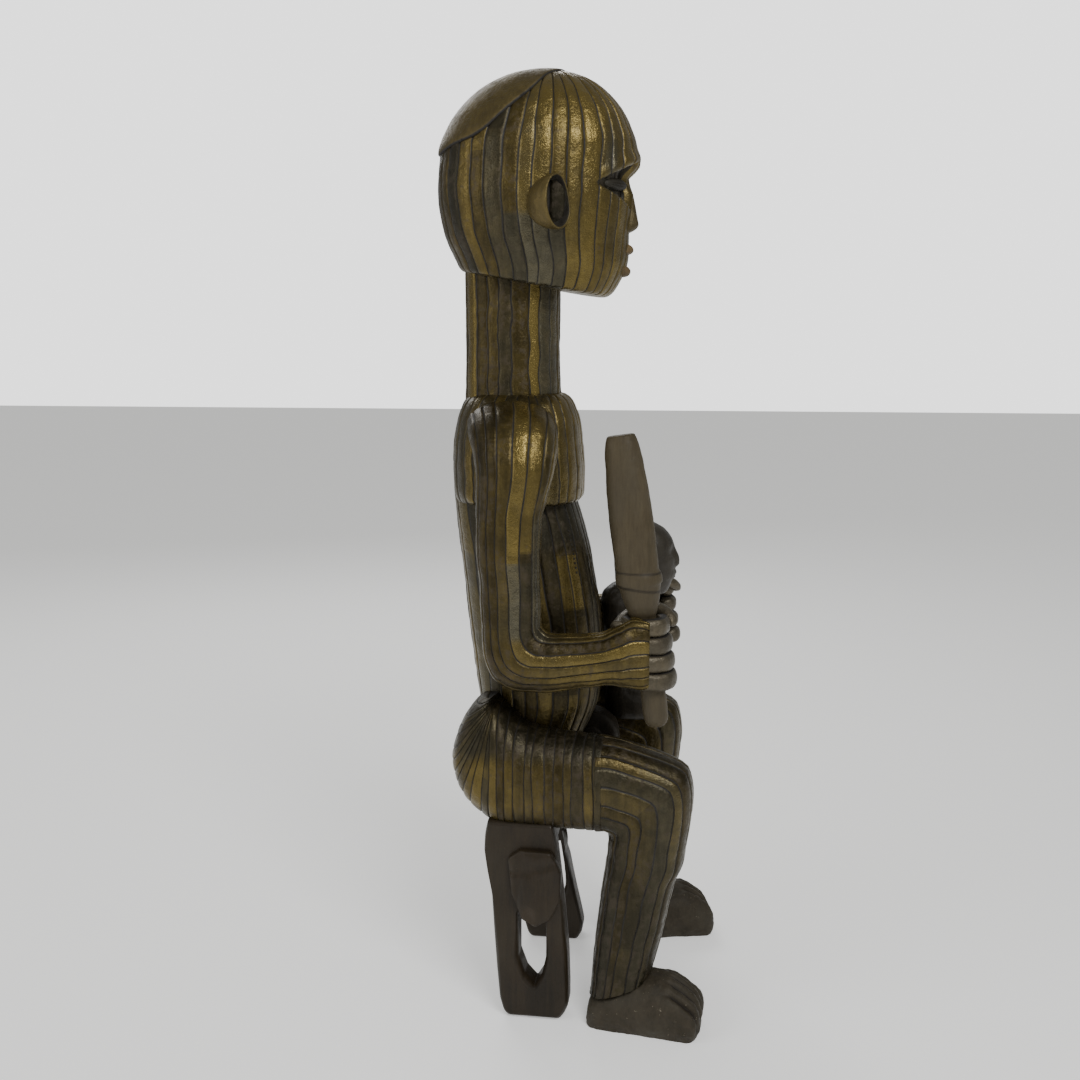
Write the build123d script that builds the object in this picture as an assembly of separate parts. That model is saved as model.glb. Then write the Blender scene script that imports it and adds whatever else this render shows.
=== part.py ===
from build123d import *
import os
from collections import namedtuple
from math import cos, pi, radians, sin

# Seated carved figure on a stool.  The wooden cores are clad with narrow hammered metal strips.
# Units are millimetres.  +X is the way the figure faces, +Y its left side, +Z up, floor at Z = 0.
# The shape tables below hold shares of the driving sizes, station by station.

# --- Driving sizes -----------------------------------------------------------------------------
SEAT_HEIGHT = 212.0        # floor to the underside of the thighs
THIGH_DEPTH = 100.0        # underside to top of the thigh at the hip
TORSO_HEIGHT = 356.0       # hip to neck base
TORSO_DEPTH = 140.0
BELLY_WIDTH = 124.0
CHEST_WIDTH = 156.0
NECK_HEIGHT = 102.0        # neck base to chin
NECK_DEPTH = 97.0
NECK_WIDTH = 89.0
HEAD_HEIGHT = 230.0        # chin to crown
HEAD_LENGTH = 203.0
HEAD_WIDTH = 163.0
ARM_DEPTH = 62.5           # front to back of the upper arm
ARM_WIDTH = 53.0
ARM_STANDOFF = 22.5        # arm axis, out from the side of the chest
LEG_WIDTH = 77.0
LEG_SPREAD = 158.0         # between the two knee axes
KNEE_REACH = 174.0         # right knee ahead of the arm axis
KNEE_DEPTH = 94.0          # hollow of the knee to its front
LEFT_KNEE_REACH = 158.0
LEFT_KNEE_RISE = 22.0      # how much higher the left knee is
RIGHT_HEEL = 67.0          # back of the shin at the heel, ahead of the arm axis
LEFT_HEEL = 78.0
FOOT_LENGTH = 122.0
FOOT_WIDTH = 70.0
RIGHT_SPLAY = 6.0          # degrees that each foot turns outwards
LEFT_SPLAY = 16.0
RIGHT_DRIFT = 8.0          # how far out the ankle stands from the knee
LEFT_DRIFT = 28.0
STOOL_SPREAD = 212.0       # outside to outside of the two side panels
STOOL_PANEL = 34.0         # thickness of a side panel
SHOULDER_FLAT = 3.0        # depth of the flat where an arm meets the chest

# --- Metalwork ---------------------------------------------------------------------------------
METAL = 1.2                # thickness of a strip
BED = 0.15                 # strip to wood
SEAM = 0.6                 # open seam between neighbouring strips
RING_PITCH = 13.0          # one thigh ring to the next
SKIN = BED + METAL
CLEAR = 0.2                # one carved piece to the next piece's metal
CAP_RISE = 3.2             # crown cap above the strips' wood
NAIL_HEAD = 1.5            # radius
NAIL_RISE = 0.6
NAIL_SHANK = 0.6
NAIL_LENGTH = 7.0

# --- Club --------------------------------------------------------------------------------------
CLUB_RISE = 184.0          # fist to the top of the club
CLUB_TAIL = 118.0          # its round tail, down from the top of the fist
CLUB_LEAN = 7.8            # degrees back from upright
CLUB_X = 124.5             # axis at the middle of the fist
CLUB_Y = -88.0
LEFT_GRIP_Y = 106.0        # the left hand closes outside the child
TAIL_RADIUS = 13.2
FIST_CLEARANCE = 0.4
FINGER_RADIUS = 27.0
FINGER_PITCH = 18.6
FIST_DROP = 64.5           # elbow axis to the underside of the fist
FINGERS = 4

# --- Levels worked out from the driving sizes ----------------------------------------------------
HIP = SEAT_HEIGHT + THIGH_DEPTH
NECK_BASE = HIP + TORSO_HEIGHT
CHIN = NECK_BASE + NECK_HEIGHT
CROWN = CHIN + HEAD_HEIGHT
ARM_Y = CHEST_WIDTH / 2 + ARM_STANDOFF
SHOULDER_SEAT = CHEST_WIDTH / 2 - SHOULDER_FLAT
WRIST_X = 84.0
FAR = 3000.0               # larger than the whole figure

HEAD_STRIPS = 38
NECK_STRIPS = 20
TORSO_STRIPS = 30
ARM_STRIPS = 12
SHIN_STRIPS = 16

# Stations: height share, back, front and half width as shares of the length and width.
HEAD_SHAPE = [
    (-0.05, -0.345, 0.270, 0.350), (0.12, -0.415, 0.405, 0.410), (0.30, -0.495, 0.455, 0.470),
    (0.47, -0.524, 0.487, 0.500), (0.64, -0.510, 0.495, 0.494), (0.77, -0.450, 0.458, 0.440),
    (0.88, -0.335, 0.370, 0.340), (0.955, -0.190, 0.250, 0.215), (0.985, -0.070, 0.130, 0.100),
]
BELLY_SHAPE = [
    (-0.10, -0.414, 0.321, 0.440), (-0.053, -0.436, 0.349, 0.460), (0.0, -0.450, 0.404, 0.480),
    (0.08, -0.475, 0.483, 0.500), (0.205, -0.521, 0.496, 0.500), (0.334, -0.561, 0.479, 0.500),
    (0.43, -0.586, 0.436, 0.500), (0.522, -0.614, 0.396, 0.500), (0.615, -0.640, 0.339, 0.490),
    (0.69, -0.650, 0.293, 0.480),
]
CHEST_SHAPE = [
    (0.69, -0.650, 0.300, 0.470), (0.705, -0.657, 0.336, 0.495), (0.77, -0.661, 0.345, 0.500),
    (0.857, -0.650, 0.321, 0.490), (0.925, -0.630, 0.305, 0.470), (0.965, -0.595, 0.275, 0.420),
    (0.99, -0.545, 0.225, 0.330), (1.0, -0.500, 0.190, 0.290),
]
# Upper arm: height share of the torso, back and front as shares of the arm depth, half width share,
# inward lean.
SHOULDER_SHAPE = [
    (0.975, -0.52, -0.04, 0.28, 21.0), (0.955, -0.68, 0.10, 0.42, 15.0), (0.92, -0.77, 0.19, 0.49, 9.0),
    (0.86, -0.80, 0.225, 0.52, 3.0), (0.76, -0.81, 0.234, 0.52, 0.0), (0.56, -0.81, 0.234, 0.50, 0.0),
    (0.47, -0.77, 0.234, 0.49, 0.0), (0.40, -0.745, 0.234, 0.485, 0.0),
]
ELBOW_PIVOT = (26.0, HIP + 126.0)
FIST_LOW = ELBOW_PIVOT[1] - FIST_DROP
CLUB_SEAT = FIST_LOW + FINGERS * FINGER_PITCH + 0.1     # where the cup of the club sits on the fist
ELBOW_SHAPE = [
    (180.0, 11.4, 72.0), (203.0, 11.0, 76.0), (225.0, 10.5, 83.0), (248.0, 10.5, 76.5), (270.0, 10.5, 70.3),
]
FOREARM_SHAPE = [(42.0, -68.0, -10.2), (76.0, -63.0, -9.0), (WRIST_X, -62.0, -8.0)]
# Leg: place along the thigh, low and high above the seat, half width share, inward shift.
BUTTOCK_SHAPE = [
    (-83.0, 0.60, 0.84, 0.12, -22.0), (-80.0, 0.49, 0.95, 0.28, -20.0), (-69.0, 0.27, 1.17, 0.47, -18.0),
    (-53.0, 0.105, 1.32, 0.60, -18.0), (-30.0, 0.0, 1.30, 0.64, -15.0), (0.0, -0.01, 1.16, 0.60, -9.0),
    (26.0, 0.0, 1.06, 0.54, -4.0), (57.0, 0.0, 1.04, 0.51, -1.0), (80.0, 0.0, 1.0, 0.50, 0.0),
]
KNEE_SHAPE = [
    (68.0, 8.0, 105.0), (53.0, 8.0, 113.0), (41.0, 8.0, 119.0), (29.0, 8.0, 107.5), (15.0, 7.0, 95.5),
    (0.0, 6.0, 89.0),
]
# Shin: height share of the seat height, share of the way from the knee hollow to the heel, front to back.
SHIN_SHAPE = [
    (0.85, 0.0, 82.0), (0.75, 0.16, 75.5), (0.59, 0.44, 73.2), (0.43, 0.69, 69.3), (0.265, 0.875, 64.2),
    (0.10, 1.0, 59.5),
]
HOLLOW_AHEAD = 3.5          # back of the upper shin, ahead of the knee's pivot
HEEL_AHEAD = 0.5            # back of the lower shin, ahead of the heel
# Foot: place along the foot, top height, half width, as shares of its length and width.
FOOT_SHAPE = [
    (0.0, 20.0, 0.24), (0.04, 42.0, 0.38), (0.15, 62.0, 0.45), (0.42, 78.0, 0.48), (0.56, 66.0, 0.50),
    (0.71, 57.0, 0.515), (0.88, 48.0, 0.515), (0.97, 38.0, 0.46), (1.0, 26.0, 0.36),
]
SOLE_DROP = 12.0           # how far the foot's round section reaches below its flat sole


# --- Sections and lofts ------------------------------------------------------------------------
def section(low, high, half, power=2.4):
    """A rounded section between two points of the XZ plane at one Y, with its half width along Y."""
    middle = (low + high) / 2
    across = (high - low) / 2
    return middle, across, Vector(0, half, 0), power


def level(z, start, end, half, y=0.0, power=2.4):
    return section(Vector(start, y, z), Vector(end, y, z), half, power)


def fan(pivot, angle, near, far, half, y, power=2.4):
    """A section that stands on a line through a pivot, from its far side to its near side."""
    ray = Vector(cos(radians(angle)), 0, sin(radians(angle)))
    start = Vector(pivot[0], y, pivot[1])
    return section(start + ray * far, start + ray * near, half, power)


def corners(place, count, grow=0.0):
    """The corners of a section's outline, one between each two strips, grown outwards."""
    middle, across, width, power = place
    outline = []
    for step in range(count):
        turn = 2 * pi * (step + 0.5) / count
        cosine, sine = cos(turn), sin(turn)
        reach = (abs(cosine) ** power + abs(sine) ** power) ** (-1 / power)
        side_a = across * (1 + grow / across.length)
        side_b = width * (1 + grow / width.length)
        outline.append(middle + side_a * (cosine * reach) + side_b * (sine * reach))
    return outline


def loft_of(rings):
    return Solid.make_loft([Wire.make_polygon(ring, close=True) for ring in rings], ruled=True)


def carved(places, count, grow=0.0):
    """A carved core: flats under the strips, one flat for each."""
    return loft_of([corners(place, count, grow) for place in places])


def strip(places, count, number):
    """One metal strip on one flat of the core, from the first station to the last."""
    rings = []
    for place in places:
        inner = corners(place, count, BED)
        outer = corners(place, count, SKIN)
        a, b = inner[number], inner[(number + 1) % count]
        c, d = outer[(number + 1) % count], outer[number]
        back_off = (b - a) * (SEAM / 2 / (b - a).length)
        rings.append([a + back_off, b - back_off, c - back_off, d + back_off])
    return loft_of(rings)


def strips(places, count, numbers=None):
    return [strip(places, count, number) for number in (range(count) if numbers is None else numbers)]


def ring(place_a, place_b, count):
    """A band round the limb between two stations."""
    outer = carved([place_a, place_b], count, SKIN)
    inner = carved([place_a, place_b], count, BED)
    return (outer - inner).solids()


def below(plane, shapes):
    return keep_side(plane, shapes, Keep.BOTTOM)


def above(plane, shapes):
    return keep_side(plane, shapes, Keep.TOP)


def keep_side(plane, shapes, side):
    kept = []
    for shape in shapes:
        half = split(shape, bisect_by=plane, keep=side)
        kept += [solid for solid in half.solids() if solid.volume > 1.0]
    return kept


def minus(shapes, tools):
    """Each solid less the tools that it meets."""
    left = []
    for shape in shapes:
        box = shape.bounding_box()
        met = [tool for tool in tools if boxes_meet(box, tool.bounding_box())]
        rest = shape - met if met else shape
        left += [solid for solid in rest.solids() if solid.volume > 1.0]
    return left


def boxes_meet(a, b):
    return all((a.min.X <= b.max.X, b.min.X <= a.max.X, a.min.Y <= b.max.Y,
                b.min.Y <= a.max.Y, a.min.Z <= b.max.Z, b.min.Z <= a.max.Z))


def scaled(rows, base, height, depth, width, power):
    return [level(base + h * height, b * depth, f * depth, w * width, power=power) for h, b, f, w in rows]


def cutting_plane(point, other):
    """The plane through two points of the XZ plane and along Y, with its upper side on top."""
    run = (Vector(other[0], 0, other[1]) - Vector(point[0], 0, point[1])).normalized()
    return Plane(origin=(point[0], 0, point[1]), x_dir=run, z_dir=run.cross(Vector(0, 1, 0)))


def mid_y(places, count, number):
    ends = corners(places[len(places) // 2], count)
    return (ends[number].Y + ends[(number + 1) % count].Y) / 2


def mid_x(places, count, number):
    ends = corners(places[len(places) // 2], count)
    return (ends[number].X + ends[(number + 1) % count].X) / 2


# --- Stations of every limb --------------------------------------------------------------------
def interpolate(rows, share):
    """The row at a height share, straight between its neighbours."""
    for first, second in zip(rows, rows[1:]):
        if first[0] <= share <= second[0]:
            part = (share - first[0]) / (second[0] - first[0])
            return tuple(a + (b - a) * part for a, b in zip(first, second))
    return rows[-1]


def head_places():
    return scaled(HEAD_SHAPE, CHIN, HEAD_HEIGHT, HEAD_LENGTH, HEAD_WIDTH, 2.2)


def neck_places():
    back, front = -0.815 * NECK_DEPTH, 0.21 * NECK_DEPTH
    return [level(z, back, front, NECK_WIDTH / 2) for z in (NECK_BASE, CHIN + 0.2 * HEAD_HEIGHT)]


def belly_places():
    return scaled(BELLY_SHAPE, HIP, TORSO_HEIGHT, TORSO_DEPTH, BELLY_WIDTH, 2.5)


def chest_places():
    return scaled(CHEST_SHAPE, HIP, TORSO_HEIGHT, TORSO_DEPTH, CHEST_WIDTH, 2.7)


def arm_places(side):
    y = side * ARM_Y
    places = [level(HIP + h * TORSO_HEIGHT, b * ARM_DEPTH, f * ARM_DEPTH, w * ARM_WIDTH, y - side * lean)
              for h, b, f, w, lean in SHOULDER_SHAPE]
    places += [fan(ELBOW_PIVOT, angle, near, far, 0.485 * ARM_WIDTH, y) for angle, near, far in ELBOW_SHAPE]
    elbow = ELBOW_PIVOT[1]
    return places + [section(Vector(x, y, elbow + low), Vector(x, y, elbow + high), 0.46 * ARM_WIDTH)
                     for x, low, high in FOREARM_SHAPE]


Leg = namedtuple("Leg", "side name reach rise heel drift splay")
LEGS = (
    Leg(-1, "right", KNEE_REACH, 0.0, RIGHT_HEEL, RIGHT_DRIFT, RIGHT_SPLAY),
    Leg(1, "left", LEFT_KNEE_REACH, LEFT_KNEE_RISE, LEFT_HEEL, LEFT_DRIFT, LEFT_SPLAY),
)


def thigh_places(leg):
    places = []
    stretch = knee_pivot(leg)[0] / BUTTOCK_SHAPE[-1][0]
    for x, low, high, share, shift in BUTTOCK_SHAPE:
        forward = x if x < 0 else x * stretch
        seat = SEAT_HEIGHT + leg.rise * max(0.0, x / BUTTOCK_SHAPE[-1][0])
        y = leg.side * (LEG_SPREAD / 2 + shift)
        bottom = Vector(forward, y, seat + low * THIGH_DEPTH)
        top = Vector(forward, y, seat + high * THIGH_DEPTH)
        places.append(section(top, bottom, share * LEG_WIDTH, 2.5))
    return places


def knee_pivot(leg):
    """The hollow of the knee, which the knee's stations turn about."""
    return leg.reach - KNEE_DEPTH, SEAT_HEIGHT + leg.rise - 8.0


def knee_places(leg):
    pivot = knee_pivot(leg)
    return [fan(pivot, angle, near, far * THIGH_DEPTH / 100, 0.47 * LEG_WIDTH, leg.side * LEG_SPREAD / 2, 2.6)
            for angle, near, far in KNEE_SHAPE]


def shin_places(leg):
    hollow = knee_pivot(leg)[0] + HOLLOW_AHEAD
    places = []
    for height, lean, depth in SHIN_SHAPE:
        back = hollow + (leg.heel + HEEL_AHEAD - hollow) * lean
        y = leg.side * (LEG_SPREAD / 2 + leg.drift * (SHIN_SHAPE[0][0] - height))
        places.append(level(height * (SEAT_HEIGHT + leg.rise), back + depth, back, 0.44 * LEG_WIDTH, y, 2.6))
    return places


# --- Planes where the carved pieces meet ---------------------------------------------------------
HIP_BACK = (-64.0, HIP + 38.0)
HIP_FRONT = (50.0, HIP - 20.0)
HIP_PLANE = cutting_plane(HIP_BACK, HIP_FRONT)
CHIN_BACK = (-79.0, CHIN + 27.0)
CHIN_FRONT = (64.0, CHIN)
CHIN_PLANE = cutting_plane(CHIN_BACK, CHIN_FRONT)
CAP_BACK = (-0.5 * HEAD_LENGTH, CHIN + 0.641 * HEAD_HEIGHT)
CAP_FRONT = (0.086 * HEAD_LENGTH, CHIN + 0.983 * HEAD_HEIGHT)
CAP_PLANE = cutting_plane(CAP_BACK, CAP_FRONT)


def ankle_plane(heel):
    return cutting_plane((heel, 29.0), (heel + 68.0, 56.0))


def lowered(plane, drop):
    return plane.offset(-drop)


# --- Head and neck -----------------------------------------------------------------------------
EYE_TURN = 28.0
EYE_HEIGHT = CHIN + 0.49 * HEAD_HEIGHT
EYE_SOCKET = 7.0           # depth below the face strips
EYE_INLAY = 4.0            # thickness of the eye piece in its socket
EYE_GAP = 0.5


def eye_plane(side):
    """The plane of an eye socket's mouth, looking outwards."""
    back, front, half = interpolate(HEAD_SHAPE, 0.49)[1:]
    turn = radians(EYE_TURN)
    middle = (back + front) / 2 * HEAD_LENGTH
    x = middle + (front - back) / 2 * HEAD_LENGTH * cos(turn)
    y = side * half * HEAD_WIDTH * sin(turn)
    rearward = (-sin(turn), side * cos(turn), 0)
    outward = (cos(turn), side * sin(turn), 0)
    return Plane(origin=(x, y, EYE_HEIGHT), x_dir=rearward, z_dir=outward)


def eye_wedge(side, inset, deep, shallow):
    """A triangle along the cheek, narrow at its rear corner, between two depths."""
    rear = (26.0 - 2 * inset, -2.0)
    upper = (-10.0 + inset, 17.0 - 1.4 * inset)
    lower = (-10.0 + inset, -15.0 + 1.4 * inset)
    outline = [rear, upper, lower]
    face = eye_plane(side).offset(-deep) * make_face(Polyline(*outline, close=True).edges())
    return extrude(face, amount=deep - shallow).solid()


def build_head(nodes):
    places = head_places()
    sockets = [eye_wedge(side, 0.0, EYE_SOCKET, -20.0) for side in (-1, 1)]
    core = above(CHIN_PLANE, [carved(places, HEAD_STRIPS)])
    nodes["head_core"] = minus(core, sockets)
    for side, name in ((-1, "right_eye"), (1, "left_eye")):
        nodes[name] = [eye_wedge(side, EYE_GAP, EYE_SOCKET, EYE_SOCKET - EYE_INLAY)]
    groups = {"face_strips": [], "right_temple_strips": [], "left_temple_strips": [], "nape_strips": []}
    for number in range(HEAD_STRIPS):
        whole = below(lowered(CAP_PLANE, CLEAR), above(CHIN_PLANE, [strip(places, HEAD_STRIPS, number)]))
        x, y = mid_x(places, HEAD_STRIPS, number), mid_y(places, HEAD_STRIPS, number)
        side_name = "left_temple_strips" if y > 0 else "right_temple_strips"
        rear_name = "nape_strips" if x < -0.33 * HEAD_LENGTH else side_name
        name = "face_strips" if x > 0.3 * HEAD_LENGTH else rear_name
        groups[name] += whole
    face_tool = carved(places, HEAD_STRIPS, SKIN + CLEAR)
    right_ear = ear(-1, face_tool)
    ears = {"right_ear": [right_ear], "left_ear": [mirror(right_ear, about=Plane.XZ)]}
    for name, pieces in groups.items():
        nodes[name] = minus(pieces, sockets)
    nodes.update(ears)
    crown = [level(CROWN, -0.07 * HEAD_LENGTH, 0.13 * HEAD_LENGTH, 0.1 * HEAD_WIDTH, power=2.2)]
    cap = carved(places + crown, HEAD_STRIPS, CAP_RISE) - carved(places, HEAD_STRIPS, BED)
    nodes["crown_cap"] = above(CAP_PLANE, cap.solids())
    nodes["nose_ridge"] = minus([nose()], [face_tool])
    for name, height, out, radius in (("upper_lip", 0.222, 0.438, 9.0), ("lower_lip", 0.13, 0.421, 9.5)):
        place = Pos(out * HEAD_LENGTH, 0, CHIN + height * HEAD_HEIGHT)
        lip = place * Rot(90, 0, 0) * Cylinder(radius, 30.0)
        rounded = fillet(lip.edges(), 0.6 * radius)
        nodes[name] = minus([rounded.solid()], [face_tool])[-1:]


def ear(side, face_tool):
    """A cupped sheet ear: half a hollow ball, open forwards and outwards, let down on the temple strips."""
    radius = 0.115 * HEAD_HEIGHT
    centre = Pos(0.08 * HEAD_LENGTH, side * 0.53 * HEAD_WIDTH, CHIN + 0.412 * HEAD_HEIGHT)
    cup = centre * (Sphere(radius) - Sphere(radius - 2.4))
    mouth = Plane(origin=centre.position + Vector(3, side * 3, 0), z_dir=(0.8, side * 0.6, 0))
    halves = minus(below(mouth, cup.solids()), [face_tool])
    return max(halves, key=lambda solid: abs(solid.center().Y))


def nose():
    """The nose: three upright outlines that widen downwards to the nostrils."""
    reach = interpolate(HEAD_SHAPE, 0.4)[2] * HEAD_LENGTH
    rings = []
    for height, out, half in ((0.49, 3.0, 4.0), (0.40, 6.5, 7.5), (0.335, 9.0, 12.0), (0.305, 6.0, 11.0)):
        z = CHIN + height * HEAD_HEIGHT
        outline = [(-14, -half), (-14, half), (out - 3, half * 0.8), (out, 0), (out - 3, -half * 0.8)]
        rings.append([Vector(reach + x, y, z) for x, y in outline])
    return loft_of(rings)


def build_neck(nodes):
    places = neck_places()
    nodes["neck_core"] = below(CHIN_PLANE, [carved(places, NECK_STRIPS)])
    lifted = [level(NECK_BASE + CLEAR, -0.815 * NECK_DEPTH, 0.21 * NECK_DEPTH, NECK_WIDTH / 2), places[1]]
    nodes["neck_strips"] = below(lowered(CHIN_PLANE, SKIN), strips(lifted, NECK_STRIPS))


# --- Torso ---------------------------------------------------------------------------------------
def shoulder_block():
    return Box(FAR, 2 * SHOULDER_SEAT, FAR)


def build_torso(nodes, legs):
    belly = above(HIP_PLANE, [carved(belly_places(), TORSO_STRIPS)])
    chest = carved(chest_places(), TORSO_STRIPS) & shoulder_block()
    nodes["torso_core"] = [(belly[0] + chest.solid()).solid()]
    front, back = [], []
    for number in range(TORSO_STRIPS):
        places = belly_places()
        cut = minus(above(HIP_PLANE.offset(CLEAR), [strip(places, TORSO_STRIPS, number)]), legs)
        (front if mid_x(places, TORSO_STRIPS, number) > -8 else back).extend(cut)
    nodes["belly_strips"], nodes["lower_back_strips"] = front, back
    front, back = [], []
    places = chest_places()[1:]
    for number in range(TORSO_STRIPS):
        if abs(mid_y(places, TORSO_STRIPS, number)) < SHOULDER_SEAT - 10.0:
            group = front if mid_x(places, TORSO_STRIPS, number) > -8 else back
            group.append(strip(places, TORSO_STRIPS, number))
    nodes["chest_strips"], nodes["upper_back_strips"] = front, back


def torso_tool():
    """The torso with its metal, for seating the legs and the lap pieces against it."""
    return above(HIP_PLANE, [carved(belly_places(), TORSO_STRIPS, SKIN + CLEAR)])[0]


# --- Arms and hands --------------------------------------------------------------------------------
def build_arm(nodes, side, name):
    places = arm_places(side)
    chest_foot = HIP + 0.68 * TORSO_HEIGHT
    notch = Pos(0, 0, chest_foot + FAR / 2) * Box(FAR, 2 * SHOULDER_SEAT, FAR)
    nodes[name + "_arm_core"] = minus([carved(places, ARM_STRIPS)], [notch])
    upper = len(SHOULDER_SHAPE)
    elbow = upper + len(ELBOW_SHAPE)
    runs = {
        "_upper_arm_strips": places[:upper],
        "_elbow_cap": places[upper - 1:elbow],
        "_forearm_strips": places[elbow - 1:],
    }
    for suffix, run in runs.items():
        pieces = []
        for number in range(ARM_STRIPS):
            piece = [strip(run, ARM_STRIPS, number)]
            if suffix == "_upper_arm_strips" and side * mid_y(run, ARM_STRIPS, number) < ARM_Y - 4:
                piece = below(Plane(origin=(0, 0, chest_foot - 6)), piece)
            pieces += piece
        nodes[name + suffix] = pieces


def club_point(z, y=CLUB_Y):
    """A point on the club's axis at a height."""
    middle = FIST_LOW + FINGER_PITCH * FINGERS / 2
    return Vector(CLUB_X - (z - middle) * sin(radians(CLUB_LEAN)) / cos(radians(CLUB_LEAN)), y, z)


def club_frame(z, y=CLUB_Y):
    """A location on the club's axis, or on the same line through the left hand."""
    return Location(club_point(z, y)) * Rot(0, -CLUB_LEAN, 0)


def build_hand(nodes, side, name):
    y = side * ARM_Y
    grip = CLUB_Y if side < 0 else LEFT_GRIP_Y
    inward = (grip - y) * 0.6
    elbow = ELBOW_PIVOT[1]
    rows = [
        (WRIST_X, -62.0, -8.0, 0.0, 0.44), (98.0, -62.0, 2.0, 0.4, 0.47), (112.0, -61.0, 7.0, 0.8, 0.49),
        (124.0, -58.0, 5.0, 1.0, 0.44),
    ]
    places = [section(Vector(x, y + inward * shift, elbow + low), Vector(x, y + inward * shift, elbow + high),
                      share * ARM_WIDTH, 2.3) for x, low, high, shift, share in rows]
    bore = TAIL_RADIUS + FIST_CLEARANCE if side < 0 else 4.0
    axis = club_frame(HIP + 100, grip)
    hole = axis * Cylinder(bore, 400)
    finger_zone = axis * Cylinder(FINGER_RADIUS + CLEAR, 400)
    nodes[name + "_palm"] = minus([carved(places, ARM_STRIPS)], [finger_zone])[:1]
    fingers = []
    for number in range(FINGERS):
        z = FIST_LOW + FINGER_PITCH * (number + 0.5)
        disc = fillet(Cylinder(FINGER_RADIUS, FINGER_PITCH - 0.4).edges(), 0.36 * FINGER_PITCH)
        fingers += minus([(club_frame(z, grip) * disc).solid()], [hole])
    nodes[name + "_fingers"] = fingers


def build_club(nodes):
    """The club: stations down its own axis, wide and flattened above, a round tail through the fist."""
    rows = [
        (1.0, 13.2, 0.8), (0.978, 15.5, 0.8), (0.81, 19.8, 0.8), (0.522, 22.3, 0.8), (0.239, 22.3, 0.82),
        (0.223, 23.6, 0.85), (0.174, 23.8, 0.86), (0.152, 21.5, 0.9), (0.076, 18.0, 0.95),
        (0.0065, TAIL_RADIUS + 1.4, 1.0),
    ]
    faces = []
    for share, half, flat in rows:
        faces.append(club_frame(CLUB_SEAT + share * CLUB_RISE) * Ellipse(half, half * flat))
    head = loft(faces, ruled=True)
    tail_top = CLUB_SEAT + rows[-1][0] * CLUB_RISE
    reach = CLUB_TAIL / cos(radians(CLUB_LEAN))
    rod = Cylinder(TAIL_RADIUS, reach, align=(Align.CENTER, Align.CENTER, Align.MAX))
    tail = fillet(rod.faces().sort_by(Axis.Z)[0].edges(), 9.0)
    nodes["club"] = [(head + club_frame(tail_top) * tail).solid()]


# --- Hips, legs and feet -----------------------------------------------------------------------------
def leg_shell(leg, grow):
    places = thigh_places(leg) + knee_places(leg) + shin_places(leg)
    return carved(places, SHIN_STRIPS, grow)


def build_leg(nodes, leg, torso):
    ankle = ankle_plane(leg.heel)
    nodes[leg.name + "_leg_core"] = minus(above(ankle, [leg_shell(leg, 0.0)]), [torso])[:1]
    thigh, knee, shin = thigh_places(leg), knee_places(leg), shin_places(leg)
    bands = {"_buttock_rings": [], "_thigh_rings": []}
    for first, second in zip(thigh, thigh[1:]):
        run = (second[0] - first[0]).length
        count = max(1, round(run / RING_PITCH))
        for number in range(count):
            low = between(first, second, number / count + SEAM / 2 / run)
            high = between(first, second, (number + 1) / count - SEAM / 2 / run)
            where = "_buttock_rings" if low[0].X < -25 else "_thigh_rings"
            bands[where] += minus(ring(low, high, SHIN_STRIPS), [torso])
    nodes.update({leg.name + suffix: pieces for suffix, pieces in bands.items()})
    cap = [between(thigh[-1], knee[0], 0.04)] + knee
    nodes[leg.name + "_knee_cap"] = strips(cap, SHIN_STRIPS)
    lower = [between(knee[-1], shin[0], 0.06)] + shin
    nodes[leg.name + "_shin_strips"] = above(ankle.offset(CLEAR), strips(lower, SHIN_STRIPS))


def between(first, second, part):
    """A station part of the way from one to the next."""
    return tuple(a + (b - a) * part for a, b in zip(first, second))


def build_hips(nodes, tools):
    outline = [
        (-60.0, SEAT_HEIGHT + 30), (-40.0, SEAT_HEIGHT + 8), (30.0, SEAT_HEIGHT + 8), (44.0, SEAT_HEIGHT + 30),
        (46.0, HIP + 40), (-60.0, HIP + 60),
    ]
    face = Plane.XZ.offset(-32.0) * make_face(Polyline(*outline, close=True).edges())
    block = below(HIP_PLANE, [extrude(face, amount=64.0).solid()])
    nodes["hip_core"] = [max(minus(block, tools), key=lambda solid: solid.volume)]
    outer = Pos(58.0, 15.0, HIP - 27.0) * Rot(90, 0, 0) * Cylinder(31.0, 34.0)
    boss = fillet(outer.edges(), 9.0).solid()
    held = minus([boss], tools + [nodes["hip_core"][0]])
    nodes["lap_boss"] = [max(held, key=lambda solid: solid.volume)]


def build_foot(nodes, leg):
    y = leg.side * (LEG_SPREAD / 2 + leg.drift)
    places = []
    for share, top, half in FOOT_SHAPE:
        x = share * FOOT_LENGTH
        places.append(section(Vector(x, 0, top), Vector(x, 0, -SOLE_DROP), half * FOOT_WIDTH, 2.3))
    block = above(Plane.XY, [carved(places, 28)])
    place = Pos(leg.heel - 1.0, y, 0) * Rot(0, 0, leg.side * leg.splay)
    grooves = [place * Pos(FOOT_LENGTH, offset * FOOT_WIDTH, 44.0) * Rot(0, 113, 0) * Cylinder(2.4, 60.0)
               for offset in (-0.26, -0.06, 0.12, 0.29)]
    foot = minus(below(ankle_plane(leg.heel), [place * block[0]]), grooves)
    nodes[leg.name + "_foot"] = [max(foot, key=lambda solid: solid.volume)]


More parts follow.
